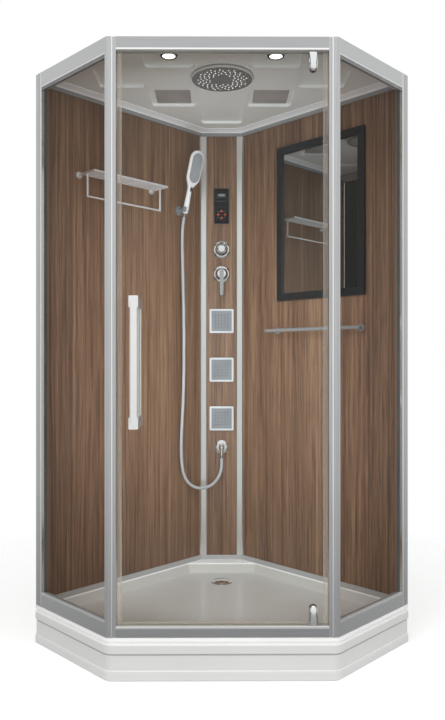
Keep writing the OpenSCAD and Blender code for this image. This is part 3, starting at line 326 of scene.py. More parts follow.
def tone_and_highlight_by_facing(name, light, dark, edge, base_at, edge_at, border=0.0, coat=0.0):
    """Sheet acrylic, pale on the faces that a form turns from the sheet and below the height
    border. On the roof and the apron this pale tone is a painted highlight, standing for the
    light that pocket walls, upturned ledges and the roof's lowest band catch; on the rain head
    it makes the sides pale round the dark plate. base_at and edge_at are how far such a face
    looks up, from -1 to 1."""
    material, tree, shader = new_finish(name, Coat_Weight=coat, Coat_Roughness=0.06)
    tone = two_tone(tree, noise(tree, position(tree), 3, 2, 0.5), dark, light)
    upward = coordinate(tree, add(tree, "NewGeometry").outputs["True Normal"], "Z")
    height = coordinate(tree, position(tree), "Z")
    # the pale share, by facing and below the border: a painted highlight on the roof and the apron
    share = calc(tree, "MAXIMUM", spread(tree, upward, 0.0, 1.0, base_at, edge_at),
                 spread(tree, height, 1.0, 0.0, border, border + 0.5 * MM))
    surfaced(tree, shader, mixed(tree, share, tone, linear(edge)),
             spread(tree, noise(tree, position(tree), 24, 4), 0.34, 0.42))
    return material


def soft_metal(name, code, metallic):
    """Satin plating with a body tone of its own, so that it doesn't only mirror the decor."""
    return new_finish(name, Base_Color=linear(code), Metallic=metallic, Roughness=0.22)[0]


def height_shaded_lacquer(name, low, high, top, at, rough):
    """Lacquer painted by height: a lighter tone low on the part and a darker one high, a painted
    shade, and a pale tone above a height, a painted highlight.
    """
    material, tree, shader = new_finish(name, Roughness=rough)
    height = coordinate(tree, position(tree), "Z")
    tone = mixed(tree, spread(tree, height, 0.0, 1.0, at / 2, at / 2 + MM), linear(low),
                 linear(high))
    tone = mixed(tree, spread(tree, height, 0.0, 1.0, at, at + MM), tone, linear(top))
    tree.links.new(tone, shader.inputs["Base Color"])
    return material


def lamp_lens(name):
    """A frosted lens that glows softly."""
    material, tree, shader = new_finish(name, Base_Color=WHITE, Roughness=0.35,
                                        Emission_Strength=3.0)
    ripple = noise(tree, position(tree), 400, 2)
    tree.links.new(ramp(tree, ripple, [(0.3, "#f4f1ea"), (0.7, "#ffffff")]),
                   shader.inputs["Emission Color"])
    return material


FINISHES = {
    "acrylic_white": moulded("sanitary acrylic, white gloss", "#fcfcfb", "#f8f8f6", 0.2, 0.4),
    # the roof's pocket walls and its lowest band are painted white: a painted highlight
    "roof_acrylic": tone_and_highlight_by_facing("sanitary acrylic, light grey", "#e6e5e1", "#e0dfda",
                                   "#ffffff", -0.7, -0.3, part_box("roof")[0].z + MM),
    "clear_glass": clear_pane("toughened glass, clear", "#fcfdfc"),
    "side_glass": clear_pane("toughened glass, side panes", "#f2f0ee", mirror=0.2),
    "chrome": polished_metal("chrome plating", "#eeeff0"),
    "satin_chrome": polished_metal("satin chrome plating", "#f6f7f7", 0.2, 0.15),
    "mirror_silver": polished_metal("silvered mirror", "#b4b7b7", 0.015),
    "black_frame": moulded("black lacquer frame", "#1d2022", "#16191a", 0.38),
    "black_gloss": moulded("black gloss plastic", "#1b1d1f", "#151718", 0.3),
    "black_glass": moulded("black printed glass", "#0d0f10", "#0a0c0d", 0.16, 0.1, shine=0.2),
    "gasket_black": moulded("black gasket rubber", "#5c5f62", "#505356", 0.6),
    "seal_clear": clear_pane("clear seal strip", "#faf8f4", 0.2, 0.16),
    "key_black": moulded("black key plastic", "#111314", "#0c0e0f", 0.4, shine=0.2),
    "spray_grey": moulded("grey spray face", "#a4a7a9", "#94979a", 0.3, 0.3),
    "handset_white": moulded("white chromed-edge plastic", "#f3f3f3", "#e9e9ea", 0.18, 0.6),
    "lamp_lens": lamp_lens("frosted lamp lens"),
    "frame_steel": moulded("powder-coated steel", "#7d7e80", "#737476", 0.5, 0.0, 500, 0.1 * MM),
    "foot_steel": brushed_metal("zinc-plated steel", "#b9b9b4", "#9c9c98", 0.38, (1, 1, 1)),
    "trap_plastic": polished_metal("chromed drain ring and trap", "#dcdddf", 0.1),
    "hose_silver": moulded("silver hose cover", "#b4b6b8", "#a6a8aa", 0.25, 0.5),
    "pipe_brass": brushed_metal("drawn brass pipe", "#c2a263", "#a3864b", 0.35),
    "valve_chrome": polished_metal("chrome-plated brass", "#f1f2f3", 0.08),
}


# Mesh helpers

def faced(bm, rings, closed=True, slot=0):
    """Faces between rings of points, each ring a loop; closed joins the last ring to the first."""
    rows = [[bm.verts.new(p) for p in ring] for ring in rings]
    for low, high in zip(rows, rows[1:] + rows[:1] if closed else rows[1:]):
        for i in range(len(low)):
            j = (i + 1) % len(low)
            bm.faces.new((low[i], low[j], high[j], high[i])).material_index = slot
    return rows


def capped(bm, rings, slot=0):
    """A closed form: the walls between rings, and a face over the first and the last."""
    rows = faced(bm, rings, False, slot)
    for row in (rows[0], rows[-1]):
        bm.faces.new(row).material_index = slot


def circle(radius, steps, z=0):
    return [Vector((radius * math.cos(2 * math.pi * k / steps),
                    radius * math.sin(2 * math.pi * k / steps), z)) for k in range(steps)]


def turned(bm, profile, matrix, steps):
    """A round part from (radius, height) points about the z axis of matrix."""
    rows = []
    for radius, height in profile:
        points = circle(radius, steps, height) if radius else [Vector((0, 0, height))]
        rows.append([bm.verts.new(matrix @ p) for p in points])
    for low, high in zip(rows, rows[1:]):
        for i in range(steps):
            j = (i + 1) % steps
            corners = dict.fromkeys((low[i % len(low)], low[j % len(low)],
                                     high[j % len(high)], high[i % len(high)]))
            if len(corners) > 2:
                bm.faces.new(list(corners))


def outline_rect(width, height, radius, steps=6):
    """A rectangle about the origin with round corners."""
    points = []
    for cx, cy, start in ((1, 1, 0), (-1, 1, 90), (-1, -1, 180), (1, -1, 270)):
        for k in range(steps + 1):
            a = math.radians(start + 90 * k / steps)
            points.append((cx * (width / 2 - radius) + radius * math.cos(a),
                           cy * (height / 2 - radius) + radius * math.sin(a)))
    return points


def tube(bm, path, radius, sides):
    """A tube along a path, with flat ends and rings that don't twist."""
    rings = []
    side = None
    for i, point in enumerate(path):
        way = (path[min(i + 1, len(path) - 1)] - path[max(i - 1, 0)]).normalized()
        if side is None:
            side = way.orthogonal().normalized()
        side = (side - way * side.dot(way)).normalized()
        up = way.cross(side)
        rings.append([point + radius * (side * math.cos(2 * math.pi * k / sides)
                                        + up * math.sin(2 * math.pi * k / sides))
                      for k in range(sides)])
    capped(bm, rings)


def smooth_path(points, steps):
    """A Catmull-Rom curve through the points."""
    ends = [points[0] * 2 - points[1]] + points + [points[-1] * 2 - points[-2]]
    path = []
    for a, b, c, d in zip(ends, ends[1:], ends[2:], ends[3:]):
        for k in range(steps):
            t = k / steps
            path.append(0.5 * (2 * b + (c - a) * t + (2 * a - 5 * b + 4 * c - d) * t * t
                               + (3 * b - a - 3 * c + d) * t ** 3))
    return path + [points[-1]]


def placed(name, mesh, body, replaced):
    """One object of the part, riding on a body; None is for one that rides on no body."""
    obj = bpy.data.objects.new(name, mesh)
    scene.collection.objects.link(obj)
    if body:
        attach(obj, body)
    if replaced:
        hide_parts(*replaced)
    return obj


def mesh_of(name, bm):
    mesh = bpy.data.meshes.new(name)
    bm.to_mesh(mesh)
    bm.free()
    return mesh


def piece(name, bm, body, finishes, replaced=(), sharp=35):
    """The same from a form in bmesh, smooth up to sharp degrees."""
    bmesh.ops.recalc_face_normals(bm, faces=bm.faces)
    mesh = mesh_of(name, bm)
    for finish in finishes:
        mesh.materials.append(finish)
    mesh.shade_smooth()
    mesh.set_sharp_from_angle(angle=math.radians(sharp))
    return placed(name, mesh, body, replaced)


# Finishes of the CAD pieces: by the record's slots, and a few of their own

def corner_of(side):
    """How far along its wall a room corner of the tray is; side is -1 on the left wall."""
    return side * (REACH - WALL_Y) / ROOT2


def lip_highlighted(name, light, dark, streak, turn, axis, bright, plain, deep=None):
    """Brushed metal, polished along a lip that is painted white, a painted highlight. bright and
    plain are where the lip is and where it ends along an axis, which is turned about the
    vertical by turn degrees. Level faces have a matt pale lining, and past the distance deep
    into the cabin it is painted shade, brown like the decor that it reflects."""
    material, tree, shader = new_finish(name)
    tone = two_tone(tree, noise(tree, position(tree, streak), BRUSHING, 4, 0.6), dark, light)
    place = add(tree, "SeparateXYZ", {0: position(tree, turn=turn)})
    lip = spread(tree, place.outputs[axis], 1.0, 0.0, bright, plain)
    upward = coordinate(tree, add(tree, "NewGeometry").outputs["True Normal"], "Z")
    level = spread(tree, calc(tree, "ABSOLUTE", upward), 0.0, 1.0, 0.8, 0.9)
    # the lip is painted white, a painted highlight; its lower roughness is real polish
    tone = mixed(tree, lip, tone, WHITE)
    tone = mixed(tree, level, tone, linear("#e2e1dd"))
    # past deep, the wall post's inner flange is painted shade, brown like the decor it reflects
    if deep is not None:
        inner = spread(tree, place.outputs["Y"], 0.0, 1.0, deep, deep + MM)
        tone = mixed(tree, inner, tone, linear("#86705e"))
        level = calc(tree, "MAXIMUM", level, inner)
    tree.links.new(calc(tree, "SUBTRACT", 1.0, calc(tree, "MULTIPLY", level, 0.9)),
                   shader.inputs["Metallic"])
    rough = calc(tree, "MAXIMUM", spread(tree, lip, 0.3, 0.12, 0.0, 1.0),
                 calc(tree, "MULTIPLY", level, 0.5))
    surfaced(tree, shader, tone, rough)
    return material


def rail(name, light, dark, bright, plain):
    """A level profile, whose lip, with its painted highlight, is between two heights."""
    return lip_highlighted(name, light, dark, LEVEL_STREAK, 0, "Z", bright, plain)


def front_post(name):
    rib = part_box("left_front_post")[0].y
    # a painted highlight along the corner rib
    return lip_highlighted(name, "#d2d3d4", "#bdbebf", UPRIGHT_STREAK, 0, "Y", rib + 0.6 * MM, rib + MM)


def wall_post(name, side):
    """side is -1 on the left wall. The inner edge is WALL_POST_W from the wall's end, and the
    inner flange starts past the glass. A painted highlight runs along the outer edge, and the
    inner flange is painted shade."""
    edge = side * ((REACH + WALL_Y) / ROOT2 - WALL_POST_W)
    return lip_highlighted(name, "#c9cacb", "#b2b3b4", UPRIGHT_STREAK, 45 * side, "X",
                  edge + side * 5 * MM, edge + side * 5.5 * MM,
                  (WALL_Y - REACH) / ROOT2 + 14 * MM)


HEADER_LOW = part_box("front_header")[0].z
THRESHOLD_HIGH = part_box("threshold_rail")[1].z
TOP_RAIL_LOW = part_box("side_top_rails")[0].z
WALL_POST_W = 41 * MM
# how far a rail's lip with its painted highlight reaches from its edge, and where it has faded out
RAIL_LIP, RAIL_LIP_END = 6.5 * MM, 8 * MM
# a painted highlight lip over the top of the cabin, for a profile that has none
NO_LIP = (3.0, 2.9)
# across its wall, where a decor panel's face ends and its core starts
PANEL_CORE = (REACH + WALL_Y) / ROOT2 - 8 * MM

OWN_FINISHES = {
    "left_wall_panel": walnut_decor("walnut decor, left wall", 45,
                                    [corner_of(-1) + 150 * MM], PANEL_CORE),
    "right_wall_panel": walnut_decor("walnut decor, right wall", -45,
                                     [corner_of(1) - 78 * MM, corner_of(1) - 731 * MM],
                                     PANEL_CORE),
    "tower_panel": walnut_decor("walnut decor, service tower", 0, [], TOWER_FACE + 2 * MM),
    "threshold_rail": rail("anodised aluminium, threshold", "#c2c3c4", "#b0b1b2",
                           THRESHOLD_HIGH - RAIL_LIP, THRESHOLD_HIGH - RAIL_LIP_END),
    "front_header": rail("anodised aluminium, header", "#c2c3c4", "#b3b4b5",
                         HEADER_LOW + RAIL_LIP, HEADER_LOW + RAIL_LIP_END),
    "left_front_post": front_post("anodised aluminium, left post"),
    "right_front_post": front_post("anodised aluminium, right post"),
    "left_wall_post": wall_post("anodised aluminium, left wall post", -1),
    "right_wall_post": wall_post("anodised aluminium, right wall post", 1),
    "tower_profiles": brushed_metal("anodised aluminium, pale", "#fafafa", "#efeff0", 0.34),
    "ceiling_covers": moulded("smoked gloss cover", "#b4b2ae", "#a5a39f", 0.1, 0.8),
    "glass_gaskets": moulded("grey gasket rubber, side panes", "#b4b6b8", "#a6a8aa", 0.6),
    "shelf": soft_metal("satin metal, rack", "#ededed", 0.6),
    "towel_bar": soft_metal("satin metal, towel bar", "#a6a6a6", 0.45),
    "side_top_rails": rail("anodised aluminium, upper side rails", "#d0d1d1", "#c0c1c2",
                           TOP_RAIL_LOW + 3 * MM, TOP_RAIL_LOW + 4 * MM),
    "side_bottom_rails": rail("anodised aluminium, lower side rails", "#cfd0d0", "#bfc0c1",
                              *NO_LIP),
    "rain_head": tone_and_highlight_by_facing("dark plated spray plate, pale rim", "#7b7b7a", "#737372",
                                "#e6e5e1", -0.8, -0.5),
    # the upper rail is painted darker than the floor rail, painted shade under the roof, and pale
    # in its top 5 mm, a painted highlight
    "wall_rails": height_shaded_lacquer("lacquered aluminium rails, painted shade and highlight", "#b2b2b1", "#929291", "#e9e9e8",
                         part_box("wall_rails")[1].z - 5 * MM, 0.35),
    "jet_frames": moulded("white chromed frame", "#d0d2d3", "#cacccd", 0.18, 0.7),
    "jet_plates": moulded("grey spray plate", "#85888a", "#7d8082", 0.42),
    "mixer_lever": polished_metal("satin chrome, lever", "#b9babb", 0.26, 0.15),
    "shower_holder": moulded("dark satin chrome, holder", "#8b8d8f", "#77797b", 0.24, 0.5),
}
# how far the sharp edges of a piece are eased, in millimetres
EASED = {"front_header": 0.6, "threshold_rail": 0.6, "side_top_rails": 0.6,
         "side_bottom_rails": 0.6, "left_front_post": 0.8, "right_front_post": 0.8,
         "tower_profiles": 0.6, "mirror_frame": 1.0, "outer_handle": 1.0, "inner_handle": 1.0,
         "control_housing": 0.8, "pivot_clamps": 0.8, "mixer_lever": 1.2, "jet_frames": 0.8,
         "shelf": 0.4, "ceiling_covers": 0.6, "base_frame": 1.0}
SLOTS = {row["node"]: row["material_slot"] for row in frame["record"]["subparts"]}
for name, obj in frame["nodes"].items():
    for place in obj.material_slots:
        place.material = OWN_FINISHES.get(name) or FINISHES[SLOTS[name]]
    obj.data.shade_smooth()
    obj.data.set_sharp_from_angle(angle=math.radians(30))
    if name in EASED:
        bevel = obj.modifiers.new("eased edges", "BEVEL")
        bevel.width = EASED[name] * MM
        bevel.segments = 2
        bevel.limit_method = "ANGLE"
        bevel.angle_limit = math.radians(40)
        bevel.harden_normals = True


# Tray and apron

def plan(wall, side, front, tower):
    """The cabin's outline, inset from the walls, glass sides, door front and tower."""
    post = Vector((REACH - (wall + side) / ROOT2, WALL_Y + (side - wall) / ROOT2))
    door = Vector((DOOR_HALF - side * ROOT2 + front, FRONT_Y + front))
    back = Vector((TOWER_HALF + tower - wall * ROOT2, TRAY_HIGH.y - tower))
    left = [Vector((-p.x, p.y)) for p in (post, door, back)]
    return [left[0], left[1], door, post, back, left[2]]


def ring_at(corners, radii, z, steps=10):
    """A level ring round corners, each rounded by its radius."""
    ring = []
    for i, p in enumerate(corners):
        a = (corners[i - 1] - p).normalized()
        b = (corners[(i + 1) % len(corners)] - p).normalized()
        half = a.angle(b) / 2
        middle = p + (a + b).normalized() * radii[i] / math.sin(half)
        start, end = (p + way * radii[i] / math.tan(half) - middle for way in (a, b))
        sweep = start.angle_signed(end)
        for k in range(steps + 1):
            spoke = start.copy()
            spoke.rotate(Matrix.Rotation(-sweep * k / steps, 2))
            ring.append(Vector((middle.x + spoke.x, middle.y + spoke.y, z)))
    return ring


# how far the basin is in from walls, sides, front and tower, and how far its walls slope in
BASIN_IN = [16 * MM, 38 * MM, 38 * MM, 73 * MM]
BASIN_SLOPE = [14 * MM, 12 * MM, 12 * MM, 14 * MM]
BASIN_FLOOR = RIM_Z - 43 * MM
BASIN_CORNER = 26 * MM
TRAY_CORNER = 50 * MM
TRAY_WALL = 6 * MM
# the rim's outer edge: millimetres in and millimetres up from its underside
RIM_EDGE = [(3, 0), (0.6, 2), (0, 5), (0, 9), (0.3, 11), (0.9, 12.4), (1.8, 13.5), (3, 14.3),
            (5, 15)]


def second_finish(bm, low, high):
    """Gives a form's second finish to its faces between two heights."""
    for face in bm.faces:
        if low < face.calc_center_median().z < high:
            face.material_index = 1


def basin_ring(grow, slope, z):
    """A ring of the basin, grown over its edge or part of the way down its slope."""
    insets = [a - grow + slope * b for a, b in zip(BASIN_IN, BASIN_SLOPE)]
    return ring_at(plan(*insets), [BASIN_CORNER + grow - slope * 6 * MM] * 6, z)


def tray_shell():
    """The rim, the basin with its fall to the drain, and the underside."""
    bm = bmesh.new()
    drain = Vector((0, sum(v.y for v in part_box("drain_cover")) / 2, 0))
    rim_low = RIM_Z - RIM_EDGE[-1][1] * MM
    waste, fall_end = 44 * MM, 60 * MM
    room_corner = MM / 2

    def round_ring(like, radius, z):
        return [drain + Vector((p.x - drain.x, p.y - drain.y, 0)).normalized() * radius
                + Vector((0, 0, z)) for p in like]

    def between(share, z):
        a = basin_ring(0, 1.15, 0)
        return [p.lerp(q, share) + Vector((0, 0, z))
                for p, q in zip(a, round_ring(a, fall_end, 0))]

    rings = [ring_at(plan(0, k * MM, k * MM, 0),
                     [room_corner] + [TRAY_CORNER - k * MM] * 2 + [room_corner] * 3,
                     rim_low + z * MM) for k, z in RIM_EDGE]
    rings += [basin_ring(grow * MM, 0, RIM_Z - z * MM)
              for grow, z in ((5, 0), (3, 0.4), (1.4, 1.4), (0.3, 3.2), (0, 6))]
    rings += [basin_ring(0, share, BASIN_FLOOR + z * MM)
              for share, z in ((0.75, 8), (0.80, 5.5), (0.88, 3.2), (1.0, 1.4), (1.15, 0.4))]
    rings += [between(share, BASIN_FLOOR - fall * MM)
              for share, fall in ((0.1, 0.1), (0.35, 0.9), (0.6, 1.9), (0.85, 3.2), (1.0, 4))]
    rings += [round_ring(rings[0], waste, BASIN_FLOOR - 4 * MM),
              round_ring(rings[0], waste, TRAY_LOW.z),
              basin_ring(TRAY_WALL, 1, TRAY_LOW.z), basin_ring(TRAY_WALL, 0, rim_low)]
    faced(bm, rings)
    # the basin's faces below the rim get a darker second finish: painted shade under the roof
    second_finish(bm, 0, RIM_Z - 20 * MM)
    piece("tray_shell", bm, "cabin",
          [FINISHES["acrylic_white"],
           moulded("sanitary acrylic, basin, painted shade", "#cfcdc8", "#cbc9c4", 0.3, 0.15)], ["tray"])


def free_faces(radius, steps=14):
    """Points with outward directions round the glass sides and the door front."""
    corners, centres = plan(0, 0, 0, 0), plan(0, radius, radius, 0)
    ring = [(corners[0], Vector((-1, -1)).normalized())]
    for centre, first in ((centres[1], -135), (centres[2], -90)):
        for k in range(steps + 1):
            a = math.radians(first + 45 * k / steps)
            out = Vector((math.cos(a), math.sin(a)))
            ring.append((centre + out * radius, out))
    ring.append((corners[3], Vector((1, -1)).normalized()))
    return ring


# the apron's section: millimetres out from the tray's outline and up from the floor
APRON = ((-8, 2), (-1, 8), (0, 10), (0, 37), (-5, 41), (-5, 89), (-6.5, 89.4), (-6.5, 95),
         (-1, 96), (0, 99), (0, 120), (-1, 125), (-3, 128), (-6, 130), (-9, 131), (-9, 135))
# heights of the real groove under the middle band's overhang; its faces are painted darker, a
# painted shade
APRON_SHADE_GROOVE = (88 * MM, 96 * MM)


def eased(chain):
    """A chain of points with its corners cut in, its ends kept."""
    cut = [chain[0]]
    for a, b in zip(chain, chain[1:]):
        cut += [a.lerp(b, 0.25), a.lerp(b, 0.75)]
    return cut + [chain[-1]]


def apron_shell():
    """The apron's section, swept round the cabin's free faces."""
    bm = bmesh.new()
    outer = eased([Vector(p) * MM for p in APRON])
    inner = [p + Vector((-4 * MM, 0)) for p in outer]
    rows = faced(bm, [[(p.x + out.x * k.x, p.y + out.y * k.x, k.y) for k in outer + inner[::-1]]
                      for p, out in free_faces(TRAY_CORNER)], closed=False)
    for row in (rows[0], rows[-1]):
        for i in range(len(outer) - 1):
            bm.faces.new((row[i], row[i + 1], row[-2 - i], row[-1 - i]))
    # the groove's faces take the darker second finish: painted shade under the overhang
    second_finish(bm, *APRON_SHADE_GROOVE)
    # the apron's upturned ledges are painted white by their facing: a painted highlight
    piece("apron_shell", bm, "cabin",
          [tone_and_highlight_by_facing("sanitary acrylic, apron", "#dadad9", "#d7d7d6", "#ffffff", 0.12, 0.5,
                          coat=0.3),
           moulded("sanitary acrylic, apron groove, painted shade", "#b2b2b1", "#adadac", 0.4)], ["apron"])


tray_shell()
apron_shell()


# Hose: the route's points in millimetres, as in the CAD model, from the outlet to the handset

HOSE_ROUTE = [
    (0, 552.107, 626), (0, 552, 598), (-3, 551, 572), (-11, 549, 547), (-25, 544, 524),
    (-45, 537, 506), (-70, 529, 496), (-96, 520, 494), (-120, 511, 500), (-141, 501, 514),
    (-157, 492, 534), (-168, 485, 558), (-175, 480, 586), (-179, 477, 620), (-181, 475, 658),
    (-181, 474, 700), (-180, 474, 742), (-178, 474, 784), (-176, 474, 826), (-174, 474, 868),
    (-172, 474, 910), (-171, 474, 952), (-170, 475, 994), (-169, 475, 1036), (-169, 476, 1078),
    (-169, 476, 1120), (-169, 477, 1162), (-169, 478, 1204), (-170, 479, 1246),
    (-170, 479, 1288), (-171, 480, 1330), (-172, 481, 1372), (-173, 482, 1414),
    (-174, 483, 1456), (-175, 484, 1498), (-176, 485, 1540), (-177, 486, 1582),
    (-177, 486, 1624), (-176, 485, 1660), (-173, 481.5, 1689), (-167.54, 475.84, 1715.49)]
HOSE_RADIUS = 7 * MM


def hose():
    """The hose, hung from its outlet to the hand shower."""
    bm = bmesh.new()
    points = [Vector((x * MM, y * MM + WALL_Y, z * MM)) for x, y, z in HOSE_ROUTE]
    path = smooth_path(points, 4)
    tube(bm, path, HOSE_RADIUS, 20)
    obj = piece("shower_hose", bm, None, [FINISHES["hose_silver"]], ["hose"])
    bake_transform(obj)


hose()


# Glass with its polished edges

def pane(name, source, normal, body, finish):
    """A copy of a CAD pane whose edges have a greener finish of their own."""
    mesh = frame["nodes"][source].data.copy()
    mesh.materials.clear()
    mesh.materials.append(FINISHES[finish])
    mesh.materials.append(GLASS_EDGE)
    for face in mesh.polygons:
        face.material_index = 0 if abs(face.normal.dot(normal)) > 0.9 else 1
    placed(name, mesh, body, [source])


GLASS_EDGE = moulded("toughened glass, polished edge", "#a9c4bb", "#8fb0a5", 0.12, 0.6)
pane("left_pane", "left_side_glass", Vector((1, 1, 0)).normalized(), "cabin", "side_glass")
pane("right_pane", "right_side_glass", Vector((-1, 1, 0)).normalized(), "cabin", "side_glass")
pane("door_pane", "door_glass", Vector((0, 1, 0)), "door", "clear_glass")


# Nozzles, prints and small fittings

def dome(bm, matrix, radius, height, steps):
    turned(bm, [(radius, 0), (radius * 0.92, height * 0.5), (radius * 0.6, height * 0.88),
                (0, height)], matrix, steps)
    bm.faces.new([bm.verts.new(matrix @ p) for p in circle(radius, steps)])


def rain_details():
    """White nozzle tips with a painted glow, spread evenly over the middle, and a bright rim on
    the rain head.
    """
    low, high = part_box("rain_head")
    middle = (low + high) / 2
    radius, tip = high.x - middle.x, 1.6 * MM
    face = moved(middle.x, middle.y, low.z + tip) @ UPSIDE_DOWN
    golden_angle, count = 180 * (3 - math.sqrt(5)), 84
    # the shares of the plate's area inside the first and the last nozzle
    first, last = 0.13, 0.66
    bm = bmesh.new()
    for n in range(count):
        away = radius * math.sqrt(first + (last - first) * n / (count - 1))
        dome(bm, face @ about("Z", n * golden_angle) @ moved(away, 0, 0), 2.2 * MM, tip, 8)
    # the white nozzles are given a painted glow
    piece("rain_nozzles", bm, "cabin",
          [with_painted_glow(moulded("white nozzle rubber, painted glow", "#ffffff", "#f4f4f2", 0.4), "#ffffff", 0.9)])
    bm = bmesh.new()
    turned(bm, [(radius - inside * MM, height * MM) for inside, height in
                ((4, 0), (3.7, 0.5), (1.6, 0.5), (1.3, 0), (4, 0))], face, 96)
    piece("rain_rim", bm, "cabin",
          [moulded("pale rim of the spray plate", "#f6f6f4", "#ececea", 0.3)])


def jet_nozzles():
    """A square of soft nozzles on each body jet."""
    apart, face = 14 * MM, 10.4 * MM
    bm = bmesh.new()
    for z in JET_ZS:
        for i in range(-2, 3):
            for j in range(-2, 3):
                dome(bm, ON_TOWER @ moved(i * apart, z + j * apart, face), 2.8 * MM, 1.7 * MM, 10)
    piece("jet_nozzles", bm, "cabin",
          [moulded("dark nozzle rubber", "#55585a", "#4c4f51", 0.5)])


def print_box(bm, x, y, width, height, level, slot, turn=0.0):
    """A printed mark on the control panel; all lengths are millimetres, x and y from its
    middle and level off the tower's face."""
    matrix = ON_TOWER @ moved(x * MM, CONTROL_Z + y * MM, level * MM) @ about("Z", turn)
    outline = outline_rect(width * MM, height * MM, min(width, height) * 0.3 * MM, 3)
    capped(bm, [[matrix @ Vector((*p, z)) for p in outline] for z in (0, 0.12 * MM)], slot)


def control_prints():
    """The display window and rows of plain marks on the glass, and those on the ring key."""
    grey = moulded("grey print", "#8f9396", "#83878a", 0.5)
    pale = moulded("pale grey print", "#5c6064", "#515558", 0.5)
    window = moulded("display window", "#34393d", "#2b3034", 0.3, 0.1, shine=0.3)
    # the orange marks are given a painted glow
    orange = with_painted_glow(moulded("orange print, painted glow", "#e2582c", "#d24e26", 0.45), "#f0602c", 1.4)
    glass_face, key_face, key_y = 4.2, 5, -39
    bm = bmesh.new()
    print_box(bm, 0, 51, 46, 19, glass_face, 2)
    print_box(bm, 0, 51, 30, 11, glass_face + 0.12, 0)
    print_box(bm, 0, 38.5, 58, 0.8, glass_face, 1)
    for side in (-1, 1):
        for k in range(4):
            print_box(bm, side * (5 + 4.6 * k), 23, 3.2, 1.5, glass_face, 0)
            print_box(bm, side * (5 + 4.6 * k), -4, 2.6, 1.1, glass_face, 1)
    piece("panel_prints", bm, "cabin", [grey, pale, window])
    bm = bmesh.new()
    for quarter in (0, 90, 180, 270):
        way = Matrix.Rotation(math.radians(quarter), 2) @ Vector((0, 16))
        print_box(bm, way.x, way.y + key_y, 3.4, 8.4, key_face, 1, quarter)
        for i in range(5):
            angle = quarter + 27 + 9 * i
            spoke = Matrix.Rotation(math.radians(angle), 2) @ Vector((18.2, 0))
            print_box(bm, spoke.x, spoke.y + key_y, 3.0, 1.0, key_face, 0, angle + 90)
    piece("key_prints", bm, "ring_key", [grey, orange])


def spotlights():
    """Bezels that stand out of the ceiling, with a lens in each."""
    low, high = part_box("spot_rings")
    outer = (high.y - low.y) / 2
    bezel = ((22.8, 8), (22.8, 12.4), (23.4, 13), (26.5, 13), (29, 12), (30.2, 10), (31, 5),
             (31, 0), (22.8, 0), (22.8, 8))
    lens = ((0, 12.2), (14, 11.9), (20, 11), (22.6, 10), (22.6, 2), (0, 2))
    rings, lenses = bmesh.new(), bmesh.new()
    for side in (-1, 1):
        down = moved(side * (high.x - outer), (high.y + low.y) / 2, low.z + 4 * MM) @ UPSIDE_DOWN
        for bm, profile in ((rings, bezel), (lenses, lens)):
            turned(bm, [(r * MM, h * MM) for r, h in profile], down, 64)
    piece("spot_bezels", rings, "cabin",
          [matt_metal("bronzed spot ring", "#5c544c", "#4e4841", 0.4)], ["spot_rings"])
    piece("spot_glass", lenses, "cabin", [FINISHES["lamp_lens"]], ["spot_lenses"])


def clamp_covers():
    """Crowned chrome covers over both clamps, inside and outside."""
    low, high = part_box("pivot_clamps")
    half, length = (high.x - low.x) / 2, 66 * MM
    middle = length * 0.52
    rim = [(-half, 0), (half, 0)]
    rim += [(half * math.cos(math.radians(a)), length - half + half * math.sin(math.radians(a)))
            for a in range(0, 181, 12)]
    # the rim's share of its size, and millimetres off the clamp's face
    crown = ((1.0, 0), (0.97, 1.6), (0.9, 3.2), (0.78, 4.6), (0.6, 5.8), (0.38, 6.6),
             (0.15, 7.0))
    bm = bmesh.new()
    for end, up in ((low.z, 1), (high.z, -1)):
        for face_y, out in ((low.y, 1), (high.y, -1)):
            # x is across the clamp, y runs from the pin to the round end, z off the face
            sides = Matrix(((out * up, 0, 0, (low.x + high.x) / 2), (0, 0, -out, face_y),
                            (0, up, 0, end), (0, 0, 0, 1)))
            capped(bm, [[sides @ Vector((x * share, middle + (y - middle) * share, h * MM))
                         for x, y in rim] for share, h in crown])
    piece("clamp_covers", bm, "door", [FINISHES["chrome"]], sharp=50)


def post_gaskets():
    """Rubber strips that hold the side glass along the wall posts, from rail to rail."""
    low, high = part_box("left_side_glass")
    rail_hold = 14 * MM
    face_in, face_out, end = 12.5 * MM, 22.5 * MM, WALL_POST_W + 3 * MM
    outline = ((WALL_POST_W, face_in), (end, face_in + MM), (end, face_out - MM),
               (WALL_POST_W, face_out))
    left = LEFT_POST @ about("Z", -45)
    bm = bmesh.new()
    for place in (left, MIRRORED @ left):
        capped(bm, [[place @ Vector((*p, z)) for p in outline]
                    for z in (low.z + rail_hold, high.z - rail_hold)])
    piece("post_gaskets", bm, "cabin", [FINISHES["gasket_black"]])


# The hand shower in millimetres: heights from its holder up, and half widths of its outline
HANDLE_LOW = 14
NECK = 88
FLARE_END = 135
HEAD_LOW = 146.5
HEAD_HIGH = 221.5
HANDLE_HALF = 12.6
NECK_HALF = 10.8
HEAD_HALF = 37.5
HANDSET_STEPS = 40


def smooth_step(value, start, end, low, high):
    """A smooth change from low to high as value goes from start to end."""
    t = min(max((value - start) / (end - start), 0.0), 1.0)
    return low + (high - low) * t * t * (3 - 2 * t)


